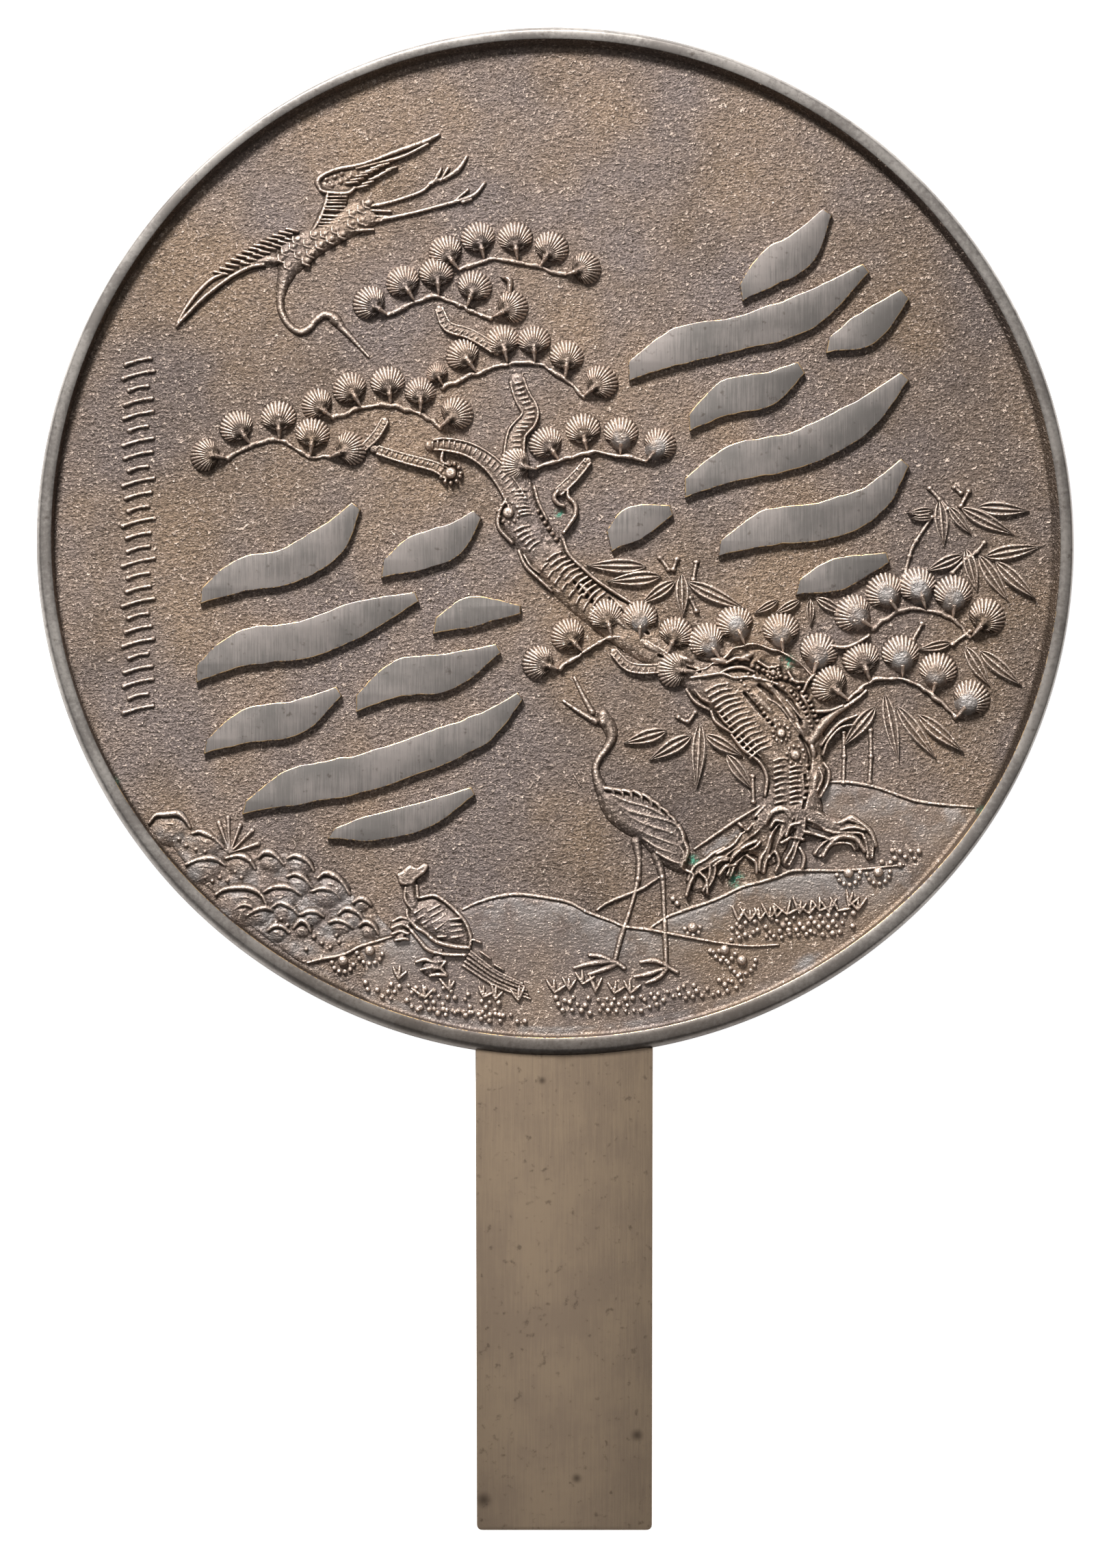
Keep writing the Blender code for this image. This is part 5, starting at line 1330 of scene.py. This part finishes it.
# Which of each leg's points is its joint
STANDING_JOINTS = (2, 1)
STANDING_TOES = [
    [(14, -96.6, 1), (11, -96.6, 1.4), (7.6, -97.1, 1.2), (4.4, -98, 0.7)],
    [(13.6, -96.6, 1), (10.4, -95.3, 1.3), (8, -95, 0.9)],
    [(14.6, -97, 1), (11.6, -98.2, 1.3), (7.8, -99.5, 0.8)], [(14, -96.6, 1.2), (16, -98, 1)],
    [(25.8, -97.3, 1), (22.8, -96.3, 1.3), (19.8, -96.6, 0.8)],
    [(25.8, -98, 1), (21.8, -99.3, 1.3), (18.4, -100, 0.7)],
    [(26, -98.2, 1), (23.8, -100.3, 1.2), (21, -101.5, 0.7)], [(25.8, -97.6, 1.2), (28.2, -98.9, 1)],
]


def make_standing_crane():
    crane = Mould(0, -104, 34, -29, step=0.18)
    crane.sheet(STANDING_BODY, 1.4, shoulder=2.6)
    crane.cords(STANDING_FEATHERS, 0.7, base=1.0, thicker=1.7)
    crane.cords(STANDING_LAPS, 0.8, base=1.1, taper=0.3, thicker=1.2)
    crane.cords(STANDING_BEAKS, 1.05, taper=0.4, thicker=1.3)
    crane.ridge(STANDING_NECK, 1.3, taper=0.2, thicker=1.15)
    crane.dome(11.2, -40.9, 4, 2.9, -60, 1.5)
    crane.dome(10.9, -40.1, 0.9, 0.9, 0, 0.3, base=1.4)
    for points, joint in zip(STANDING_LEGS, STANDING_JOINTS):
        crane.ridge(points, 0.95, taper=0.2, thicker=1.3)
        crane.dome(*points[joint][:2], 2, 1.7, 90, 1.25)
    crane.cords(STANDING_TOES, 0.95, taper=0.3, thicker=1.35)
    crane.ridge([(4.3, -53.2, 0.6), (5.9, -55.9, 0.6)], 0.4)
    return crane.cast("standing_crane")


standing_crane = make_standing_crane()
on_mirror(standing_crane)


# The turtle: it looks back over a plated shell, with a long flowing tail of weed. Its head was filed flat,
# like the broad strokes.

TURTLE_SHELL = [
    (-34.2, -83.4), (-31.2, -81.6), (-28.2, -81), (-26, -82.1), (-23.2, -84.5), (-20.7, -87.4),
    (-19.4, -90.5), (-19.5, -93.4), (-23.8, -93.1), (-27.5, -92), (-30, -90), (-32.2, -88.5), (-34.4, -86.2),
]
TURTLE_HEAD = [
    (-36.9, -76.3), (-35.4, -75.3), (-33.6, -74), (-32, -74.6), (-30.4, -73.6), (-29.2, -74.2), (-30, -76),
    (-32, -77.5), (-32.8, -78.7), (-34.4, -79), (-36, -78.6), (-36.4, -77.4),
]
# The shell's double edge, the folds of the neck, the toes and the weed, as (x, y, width)
TURTLE_CORDS = [
    [(-31.6, -81.8, 0.8), (-28.2, -81.2, 1), (-26, -82.2, 1), (-23.2, -84.6, 1), (-20.8, -87.4, 1),
     (-19.6, -90.5, 1), (-19.6, -92.6, 0.8)],
    [(-34.3, -84.6, 0.8), (-34, -86.3, 1), (-32.2, -88.4, 1.2), (-30, -89.8, 1.1), (-27.5, -91.8, 1.2),
     (-23.8, -92.9, 1.2), (-19.9, -93.3, 1)],
    [(-34, -88.4, 0.8), (-31.6, -91.3, 1), (-29.4, -93.7, 1.1), (-25.7, -94.8, 1), (-20.8, -95, 0.9)],
    [(-34.6, -79.4, 0.8), (-34.7, -82, 0.9), (-33, -84.6, 0.8)], [(-32, -79, 0.8), (-31.8, -81.6, 0.9)],
    [(-37.6, -87.2, 0.7), (-35.6, -86.3, 1), (-33.8, -87, 0.8)],
    [(-37.8, -88.7, 0.8), (-35.6, -87.9, 1), (-34, -88.6, 0.8)],
    [(-37.8, -90.2, 0.8), (-35.8, -89.5, 1.1), (-34, -90, 0.8)],
    [(-37, -91.6, 0.7), (-35.2, -91.2, 1), (-34, -91.4, 0.7)],
    [(-32.2, -96.6, 0.7), (-30, -96, 1.2), (-28, -96.7, 1), (-25.4, -96.4, 0.8)],
    [(-31, -98.4, 0.7), (-28.6, -97.9, 1.3), (-26, -98.2, 1)],
    [(-29, -99.8, 0.7), (-27, -99.5, 1.2), (-25.2, -99.7, 0.9)],
    [(-25.4, -96.6, 0.9), (-26.4, -98, 1), (-25.2, -99.4, 0.9)], [(-19, -91.4, 0.7), (-17.2, -92.1, 0.6)],
    [(-17.2, -94.2, 0.6), (-15, -95.8, 0.6)], [(-14, -97.2, 0.6), (-12, -98.4, 0.5)],
]

# The neck and the legs, each with its height
TURTLE_LIMBS = [
    ([(-33.4, -78.4, 3), (-33.5, -80.6, 2.8), (-32.8, -83.4, 3.2)], 1.15),
    ([(-32.6, -87, 2.4), (-34.6, -87.4, 3), (-36.6, -88.4, 3.4)], 1.0),
    ([(-35, -89.6, 2), (-36.2, -91, 2.2)], 0.9),
    ([(-26.6, -94.4, 2.2), (-27.4, -97, 3.6), (-29, -98, 4)], 1.0),
]
# The ribs of the shell's plates: the two lines that they run between, how many, their width, height and base
SHELL_RIBS = [
    ([(-33, -84.8), (-30.4, -88.2)], [(-30.6, -83.2), (-27.8, -86.8)], 3, 1, 0.4, 1),
    ([(-30, -84.2), (-27.4, -89.6)], [(-26.8, -82.6), (-24.2, -87.4)], 4, 1, 0.4, 1.15),
    ([(-24.2, -86), (-24, -91.8)], [(-21.9, -85.8), (-21.3, -91.2)], 4, 1.1, 0.4, 1.05),
    ([(-27.6, -88.6), (-27, -91.4)], [(-24.6, -88), (-24.4, -91.6)], 2, 1, 0.3, 1),
]


def make_turtle():
    turtle = Mould(-42, -109, -3, -72, step=0.18)
    turtle.sheet(TURTLE_SHELL, 1.25, shoulder=4)
    turtle.sheet(TURTLE_HEAD, 1.5, shoulder=0.5, spacing=0.5)
    for points, rise in TURTLE_LIMBS:
        turtle.ridge(points, rise)
    for first, second, count, width, rise, base in SHELL_RIBS:
        turtle.comb(first, second, count, width, rise, base=base)
    turtle.cords(TURTLE_CORDS, 0.6, base=0.65, thicker=1.2)
    turtle.comb([(-19.2, -93.8), (-21.4, -97.8)], [(-7.6, -101), (-5.6, -105.6)], 5, 1, 0.75, bend=-0.05)
    return turtle.cast("turtle")


turtle = make_turtle()
on_mirror(turtle)


# The shore at the lower left: rocks like overlapping scales, each with a bright lip on its upper edge, and
# drops of spray. Cast with the plate as one low sheet, with a dome and two cords for each rock.

SHORE = [
    (-93.4, -64), (-90, -62), (-86.5, -62.4), (-83, -66.4), (-78, -69.8), (-72, -71.8), (-66, -71.2),
    (-60, -72), (-56, -75), (-52, -76), (-47.6, -80.8), (-43, -82.4), (-40.4, -86.6), (-37.4, -90.4),
    (-42.5, -92.2), (-48, -94.8), (-53, -96.2), (-57.8, -97.2), (-66, -91.8), (-75, -84.6), (-83, -76.8),
    (-90, -68.4),
]
# Each rock's lip, from its left foot over its top to its right foot
ROCK_LIPS = [
    [(-94, -64.4), (-92.4, -62.6), (-90, -62.4), (-87.4, -62.2), (-85.6, -63.6), (-84.5, -65.4)],
    [(-84, -66.8), (-82.4, -66.4), (-80.6, -67), (-78.6, -68.2), (-76.8, -70)],
    [(-85.4, -74), (-83, -73), (-80, -72.5), (-78, -73), (-76.4, -74.2)],
    [(-76.2, -72.6), (-74, -72), (-72, -72.2), (-70.4, -73.4), (-69.4, -75)],
    [(-68.7, -72.4), (-67.6, -71.3), (-66, -71.2), (-64.4, -72.2), (-62.8, -74)],
    [(-62, -72.6), (-60.4, -71.9), (-58.6, -72.4), (-57, -73.6), (-55.9, -75.4)],
    [(-62, -76.8), (-60.4, -76.2), (-58.8, -76.6), (-57.4, -77.8), (-56.2, -79.4)],
    [(-55, -77.2), (-53.4, -76), (-51.4, -76.4), (-49.4, -78), (-47.6, -80.8)],
    [(-56.4, -80.2), (-54.6, -79.6), (-52.8, -79.6), (-51, -80.4), (-49.8, -81.8)],
    [(-78.6, -81), (-76.6, -79.8), (-73, -79.3), (-70, -79.7), (-68, -81), (-66.8, -83.2)],
    [(-67.4, -80.4), (-65.6, -79.4), (-63, -79.1), (-60.6, -79.7), (-58.8, -81)],
    [(-71.4, -85.8), (-69.4, -84.6), (-67, -84), (-65.4, -84.6)],
    [(-65.6, -84), (-64, -82.9), (-62.2, -83.2), (-60.6, -84.2), (-59.4, -85.6)],
    [(-59, -85.6), (-57.2, -84.9), (-55.2, -85), (-53.6, -86)],
    [(-50.2, -85.4), (-48.6, -84.2), (-47, -84.4), (-45.4, -85.4), (-44.3, -87)],
    [(-46.8, -82.8), (-45.2, -81.9), (-43.8, -82.2), (-42.6, -83.4)],
    [(-52.4, -87.4), (-50.6, -86.9), (-48.6, -87.4), (-46.8, -88.6)],
    [(-60.6, -88.8), (-59, -87), (-57.4, -87.6), (-56.6, -89.4)],
    [(-74.4, -84.6), (-72.6, -83.4), (-70.8, -83.5), (-69.6, -84.4)],
    [(-66.6, -89.4), (-65, -88.2), (-63, -88.4), (-61.6, -89.8)],
    [(-45.4, -88.2), (-44, -87.2), (-42.2, -88), (-40.9, -90)],
]
SPRAY = [
    (-88.6, -67.3), (-87, -68.1), (-85.4, -69.6), (-83.2, -70.5), (-81, -71), (-81, -77), (-79.3, -77.8),
    (-77.6, -77), (-75.8, -77.7), (-74, -75.6), (-72.6, -77), (-63.4, -86.6), (-62, -88), (-64.6, -87.4),
    (-63.2, -90.4), (-55.8, -90.8), (-54, -92.2), (-52, -93.2), (-50, -92), (-50.6, -90.4), (-57.6, -93.6),
]
SPROUT_FOOT = (-75.3, -71.4)
SPROUT_TIPS = [(-77.8, -64.4), (-75.7, -63.2), (-72.9, -64.9), (-70.2, -66.2), (-68.8, -69.2), (-78.6, -69)]


def make_shore():
    """The low bank of the shore, with a dome, a lip and an inner line for each rock."""
    shore = Mould(-97, -100, -36, -60)
    part, depth = shore.sheet(SHORE, 0.4, shoulder=1)
    shore.height[part] += np.where(depth > 0.5, 0.12 * grain(shore.x[part], shore.y[part], 1.7, 10), 0)
    for lip in ROCK_LIPS:
        lip = np.array(lip, float)
        middle, wide = (lip[0] + lip[-1]) / 2, np.hypot(*(lip[-1] - lip[0]))
        lean = math.degrees(math.atan2(*(lip[-1] - lip[0])[::-1]))
        shore.dome(middle[0], middle[1] - 0.1 * wide, wide, 0.86 * wide, lean, 0.72, power=2.4, base=0.35)
        widths = np.interp(np.linspace(0, 1, len(lip)), [0, 0.5, 1], [0.9, 2.1, 0.9])
        shore.ridge(np.column_stack([lip, widths]), 1.15, base=0.5, melt=CRISP)
        inner = middle + (lip - middle) * 0.5 - (0, 0.9)
        inner += 0.5 * sway(inner, 1.9, 14)
        shore.ridge(np.column_stack([inner, 0.6 * widths]), 0.35, base=0.95)
    shore.dust = np.clip(0.3 + 0.9 * grain(shore.x, shore.y, 3.4, 18), 0, 0.8)
    for x, y in SPRAY:
        shore.dome(x, y, 1.3, 1.15, 20, 0.8, base=0.5, melt=CRISP)
    for x, y in SPROUT_TIPS:
        near = (0.6 * SPROUT_FOOT[0] + 0.4 * x, 0.6 * SPROUT_FOOT[1] + 0.4 * y)
        shore.ridge([(*SPROUT_FOOT, 0.7), (*near, 0.7), (x, y, 1.4)], 0.6, base=0.3, taper=0.4)
    return shore.cast("shore")


shore = make_shore()
on_mirror(shore)


# The land's lines: thin cords along the brow of each bank and path, that run under the cranes' and turtle's
# feet. Cast with the plate, as rounded cords that thin out at both ends.

LAND_LINES = [
    [(63.7, -54.9), (67.9, -54.9), (74.3, -56.1), (79.3, -57.8), (84, -59.3), (91, -60.2), (97, -60.7)],
    [(47.6, -60.4), (42, -63.8), (37, -67.2), (32.2, -70.5)],
    [(42, -67.5), (41.6, -69.9), (39, -71), (36.6, -71.8)],
    [(21.8, -88.8), (25.7, -86.3), (30, -84.6), (34.9, -82.9), (38.7, -81.4), (43.5, -79.1), (48.2, -77.9),
     (52, -76.7), (54.9, -75.5), (60.1, -75.4), (67.2, -75.4), (74.3, -74.8), (80.7, -74.1)],
    [(-21.4, -84.4), (-17.2, -82.5), (-12.7, -81.3), (-8.3, -80.9), (-1.8, -81.7), (3.3, -82.8),
     (7.8, -85.1), (12.9, -87), (16.1, -88.3), (21.2, -89), (25.7, -89.9), (32.1, -91.1), (38.5, -92.2),
     (44.9, -92.9), (51.7, -92.6)],
    [(9.6, -84.6), (12.5, -82.7), (17.4, -80.7), (20.3, -79.5), (24.4, -76.8)],
    [(-57.4, -96.8), (-53.4, -95.8), (-48.8, -94.8), (-45.7, -93.2), (-42.6, -92.2), (-37.1, -90.5)],
]


def make_land_lines():
    lines = Mould(-60, -99, 99, -52)
    for line in LAND_LINES:
        widths = np.interp(np.linspace(0, 1, len(line)), [0, 0.15, 0.8, 1], [0.8, 1.2, 1.1, 0.7])
        lines.ridge(np.column_stack([line, widths]), 0.75)
    return lines.cast("land_lines")


land_lines = make_land_lines()
on_mirror(land_lines)


# The bamboo: slim jointed canes behind the pine, with sprays of long ribbed leaves.
# Cast with the plate: the canes are cords with a boss at each joint, and the leaves are copies of one leaf.

CANES = [
    [(24.3, -3), (26.3, -5.7)], [(28.2, -3.3), (27.3, -5.7)], [(32.7, -4), (32, -8)],
    [(31.3, -12.3), (32.7, -15.3)], [(87.2, 6.4), (83.6, 1), (82, -2.6), (80.9, -7.5)],
    [(86.7, 13.1), (89, 10.6), (91, 8.4)], [(92.5, 13.3), (93.9, 12)], [(95.7, 12.4), (93.9, 9)],
    [(99.3, 0.5), (97.5, -1.7), (95, -3.4), (92, -6.4)], [(82.9, -21.9), (84.9, -18.3)],
    [(96, -20), (92, -23)], [(73, -43), (73.1, -49), (72.8, -55)], [(66.8, -43.5), (66.9, -49), (66.7, -55)],
    [(45.7, -53.6), (45.9, -59.5)], [(28.6, -39.9), (30.7, -40.9), (32.4, -38.8)],
]
# Each leaf's foot and tip
LEAVES = [
    ((20.3, -5), (8, -5)), ((23.8, -7.3), (12.7, -8.3)), ((27.3, -8.7), (20.3, -13.3)),
    ((29.3, -7.3), (29.3, -16.3)), ((31.3, -9), (43.3, -14.7)), ((51.3, -13), (46.3, -15.7)),
    ((56.3, -13), (51, -15.7)), ((59, -13), (59, -18.5)), ((60.7, -12.5), (67, -16)),
    ((87.2, 8), (81.8, 7.3)), ((87.2, 6.4), (82.5, 6)), ((89, 9.7), (90, 0.1)), ((91.4, 8.4), (96.1, 2.8)),
    ((94.6, 8.2), (105.6, 2.6)), ((98.4, 8.6), (109.1, 7.7)), ((93.9, -2.6), (86.3, -5.7)),
    ((95.2, -1.5), (97.5, -10.2)), ((98.4, -3), (104.9, -12.5)), ((102.4, -4.4), (110.7, -12)),
    ((100.2, -2.6), (112, -0.6)), ((91.2, -22.8), (84.5, -24.1)), ((95.2, -24.1), (100.2, -32.2)),
    ((98.8, -25), (107.3, -32.2)), ((76.4, -35.3), (79.1, -49.7)), ((73.7, -38), (67, -46.1)),
    ((79.5, -38), (87.6, -48.8)), ((84.5, -39.8), (93.9, -47.5)), ((25.2, -43.2), (16.4, -45.9)),
    ((31, -44.5), (22.3, -49.6)), ((33.5, -42), (32.7, -55.7)), ((35.3, -44.3), (43, -48.5)),
    ((40, -49), (45.5, -56.1)),
]
LEAF_RISE = 1.3
# Half of the widest leaf's width
WIDEST_LEAF = 1.95
# How far a leaf's thin points run on past its foot and its tip, as a share of its length
LEAF_POINT = 0.06
LEAF_STEPS, LEAF_RIBS = 12, 13


def make_canes():
    canes = Mould(22, -62, 102, 16)
    for cane in CANES:
        canes.ridge([(x, y, 1.2) for x, y in cane], 0.8)
        for x, y in cane:
            canes.dome(x, y, 1.7, 1.4, 0, 1.05)
    return canes.cast("bamboo_canes")


def leaf_pattern():
    """A leaf 1 mm long along +X and 1 mm to each side, with a rib down its middle and along each edge."""
    share = np.linspace(0, 1, LEAF_STEPS + 1)[:, None]
    across = np.linspace(-1, 1, LEAF_RIBS)[None, :]
    half = np.clip(np.sin(math.pi * share**0.75), 0.02, 1)
    body = 0.35 + 0.6 * np.exp(-((across / 0.2) ** 2))
    body += 0.6 * np.exp(-(((np.abs(across) - 0.72) / 0.17) ** 2))
    z = LEAF_RISE * body * (0.45 + 0.55 * half**0.5) * np.where(np.abs(across) > 0.99, -0.2, 1)
    grid = np.stack([share + 0 * across, across * half, z], axis=-1).reshape(-1, 3)
    under = grid * (1, 1, 0) + (0, 0, -0.6)
    number = np.arange(len(grid)).reshape(z.shape)
    corners = [number[:-1, :-1], number[1:, :-1], number[1:, 1:], number[:-1, 1:]]
    top = np.stack(corners, axis=-1).reshape(-1, 4)
    ring = np.concatenate([number[0, :], number[1:, -1], number[-1, -2::-1], number[-2:0:-1, 0]])
    following = np.roll(ring, -1)
    walls = np.column_stack([ring, following, following + len(grid), ring + len(grid)])
    faces = [*top.tolist(), *(top[:, ::-1] + len(grid)).tolist(), *walls[:, ::-1].tolist()]
    pattern = smooth_mesh("leaf_pattern", np.concatenate([grid, under]), faces)
    # Ribs painted bright and the grooves between them dark: painted highlight and painted shade, besides wear
    store(pattern, "wear_and_shading", np.append((body - 0.52) * 2.1 + 0 * share, np.full(len(grid), -1)))
    return pattern


def leaf_places():
    """Each leaf's place for set_out, from its foot and tip."""
    places = []
    for (x, y), (tip_x, tip_y) in LEAVES:
        length, turn = math.hypot(tip_x - x, tip_y - y), math.degrees(math.atan2(tip_y - y, tip_x - x))
        x, y = x - LEAF_POINT * (tip_x - x), y - LEAF_POINT * (tip_y - y)
        places.append((x, y, GROUND, turn, (1 + 2 * LEAF_POINT) * length, min(WIDEST_LEAF, 0.2 * length), 1))
    return places


canes = make_canes()
on_mirror(canes)
leaves = set_out("bamboo_leaves", leaf_pattern(), leaf_places(), cast_bronze, tilt=2, seed=3)
on_mirror(leaves)


# The strip of thin strokes down the left edge: short dashes, all at one slant, cast low with the plate and
# left rough. Their lengths swell and shrink down the strip.

COLUMN_X, COLUMN_TOP, COLUMN_PITCH, COLUMN_ROWS = -96.5, 42.5, 3.1, 27
COLUMN_SLANT = 14
THIN_LENGTH, THIN_SWELL, THIN_RISE = 6, 1.6, 0.75


def make_column():
    column = Mould(-103, -45, -90, 48)
    for row in range(COLUMN_ROWS):
        middle = np.array([COLUMN_X, COLUMN_TOP - COLUMN_PITCH * row])
        half = heading(COLUMN_SLANT) * (THIN_LENGTH + THIN_SWELL * math.sin(2.2 * row)) / 2
        bow = middle + (0, 0.25)
        column.ridge([(*(middle - half), 1.4), (*bow, 1.0), (*(middle + half), 1.2)], THIN_RISE)
    return column.cast("stroke_column")


column = make_column()
on_mirror(column)


# Grass and flowers along the foot of the field: hundreds of cast pearls in rows, with blades between them.
# The pearls are copies of one ball sunk in the ground, and each tuft of grass is three short cords.

PEARL_RADIUS = 0.66
# Each flower's middle and the radius of the ring of pearls under it
FLOWERS = [
    (-42.9, -94, 3), (-49.1, -96.3, 2.6), (67.9, -76, 2.7), (74.8, -75.8, 2.7), (43.2, -96.2, 3.2),
    (39.2, -93.8, 2.6), (31.8, -88.6, 1.8),
]
# Each field of pearls: where its first row starts and ends, how many rows, and the step down to the next row
PEARL_ROWS = [
    ((75.4, -70.8), (86.8, -71.6), 3, 1.4), ((41, -91.4), (70, -89.4), 4, -1.25),
    ((-44, -101.4), (-12, -104.6), 4, 1.5), ((0, -105), (20, -105.2), 3, 1.4),
    ((20, -104.6), (44, -99.4), 3, 1.4), ((27, -82.2), (30, -81.8), 2, 1),
    ((-34, -107), (-6, -109.4), 2, 1.2), ((36, -93.8), (40, -94.6), 2, 1.2),
]
# Each tuft of grass's foot, and the band of them on the near bank, as its two ends and how many
GRASS = [
    (-36, -100.6), (-24, -103.4), (-17, -104.6), (-14, -105.4), (0, -103.4), (4, -103.6), (6.4, -102.6),
    (9, -103.6), (14, -104.4), (17.6, -104.4), (-30, -105), (-8, -106.4),
]
BAND_GRASS = ((42.5, -87), (70.5, -84.2), 13)
# Each tuft's blades, as the way each leans in degrees and its length
GRASS_BLADES = [(46, 3), (86, 2.8), (124, 3.4)]


def pearl_pattern():
    ball = bmesh.new()
    bmesh.ops.create_icosphere(ball, subdivisions=2, radius=MM)
    mesh = bpy.data.meshes.new("pearl_pattern")
    ball.to_mesh(mesh)
    ball.free()
    pattern = in_scene("pearl_pattern", mesh)
    # Bright on top with wear, dark round the foot: patina in the crevice and a painted shadow ring
    store(pattern, "wear_and_shading", [1.3 * vertex.co.z / MM - 0.1 for vertex in mesh.vertices])
    return pattern


def pearl_places():
    """Each pearl's place and size: the fields' rows, a little uneven and with gaps, then the flowers."""
    chance = np.random.default_rng(4)
    places = []
    for start, end, rows, drop in PEARL_ROWS:
        count = int(math.dist(start, end) / (2.9 * PEARL_RADIUS))
        for row in range(rows):
            for x, y in along([start, end], (np.arange(count) + 0.5 * (row % 2)) / count):
                if chance.random() < 0.85:
                    x, y = (x, y - drop * row) + 0.22 * chance.normal(size=2)
                    size = PEARL_RADIUS * chance.uniform(0.75, 1.15)
                    places.append((x, y, size))
    for x, y, ring in FLOWERS:
        places.append((x, y, 1.25))
        for turn in np.arange(-170, 5, 170 * 1.1 / ring / 2.4):
            places.append((*((x, y) + ring * heading(turn)), 0.58))
    places = np.array([place for place in places if math.hypot(*place[:2]) < RIM_FOOT - 1])
    x, y, size = places.T
    return np.column_stack([x, y, GROUND + 0.2 + land(x, y), 0 * x, size, size, 1.1 * size])


def make_grass():
    grass = Mould(-42, -111, 74, -78, step=0.18)
    feet = [*GRASS, *along(BAND_GRASS[:2], np.linspace(0, 1, BAND_GRASS[2]))]
    chance = np.random.default_rng(9)
    for x, y in feet + 0.35 * chance.normal(size=(len(feet), 2)):
        for turn, length in GRASS_BLADES:
            turn, length = turn + 13 * chance.normal(), length * chance.uniform(0.75, 1.2)
            tip = (x, y) + length * heading(turn)
            middle = ((x + tip[0]) / 2, (y + tip[1]) / 2, 1.15)
            grass.ridge([(x, y, 0.7), middle, (*tip, 0.7)], 1.05, taper=0.3)
    return grass.cast("grass")


pearls = set_out("pearls", pearl_pattern(), pearl_places(), cast_bronze)
on_mirror(pearls)
grass = make_grass()
on_mirror(grass)


# The floor, the lights and the camera: a pale table, one large soft light above the mirror's top edge, a
# softer one over it, and a camera straight above that sees the mirror as it lies.

KEY_PLACE, KEY_SIZE, KEY_POWER = (-0.44, 1.40, 1.05), 0.40, 86.0
TOP_PLACE, TOP_SIZE, TOP_POWER = (-0.1, -0.2, 1.6), 1.0, 4.5
WORLD_LIGHT = 0.14
FLOOR_WHITE, FLOOR_GLOW, FLOOR_HALF, FLOOR_LEVEL = 0.9, 0.85, 3, -0.0002

floor_mesh = bpy.data.meshes.new("floor")
floor_corners = [(-1, -1), (1, -1), (1, 1), (-1, 1)]
floor_points = [(FLOOR_HALF * x, FLOOR_HALF * y, FLOOR_LEVEL) for x, y in floor_corners]
floor_mesh.from_pydata(floor_points, [], [(0, 1, 2, 3)])
floor = in_scene("floor", floor_mesh)
floor_finish = bpy.data.materials.new("pale floor")
floor_finish.use_nodes = True
floor_shader = floor_finish.node_tree.nodes["Principled BSDF"]
floor_shader.inputs["Base Color"].default_value = (FLOOR_WHITE, FLOOR_WHITE, FLOOR_WHITE, 1)
floor_shader.inputs["Roughness"].default_value = 0.9
floor_shader.inputs["Emission Color"].default_value = (1, 1, 1, 1)
floor_shader.inputs["Emission Strength"].default_value = FLOOR_GLOW
floor_mesh.materials.append(floor_finish)


def add_light(name, place, size, power):
    """A square soft light that faces the middle of the mirror."""
    light = bpy.data.lights.new(name, "AREA")
    light.size = size
    light.energy = power
    lamp = in_scene(name, light)
    lamp.location = place
    lamp.rotation_euler = (Vector((0, -0.05, 0)) - lamp.location).to_track_quat("-Z", "Y").to_euler()


add_light("key", KEY_PLACE, KEY_SIZE, KEY_POWER)
add_light("overhead", TOP_PLACE, TOP_SIZE, TOP_POWER)
world = bpy.data.worlds.new("studio")
world.use_nodes = True
world.node_tree.nodes["Background"].inputs["Color"].default_value = (1, 1, 1, 1)
world.node_tree.nodes["Background"].inputs["Strength"].default_value = WORLD_LIGHT
bpy.context.scene.world = world
bpy.context.scene.view_settings.view_transform = "Standard"

CAMERA_HEIGHT = 1.15
VIEW_HEIGHT = 0.3632
VIEW_CENTRE = (0.0001, -0.0554)
camera = in_scene("camera", bpy.data.cameras.new("camera"))
camera.location = (*VIEW_CENTRE, CAMERA_HEIGHT)
camera.data.lens = camera.data.sensor_width * (CAMERA_HEIGHT - GROUND * MM) / VIEW_HEIGHT
bpy.context.scene.camera = camera
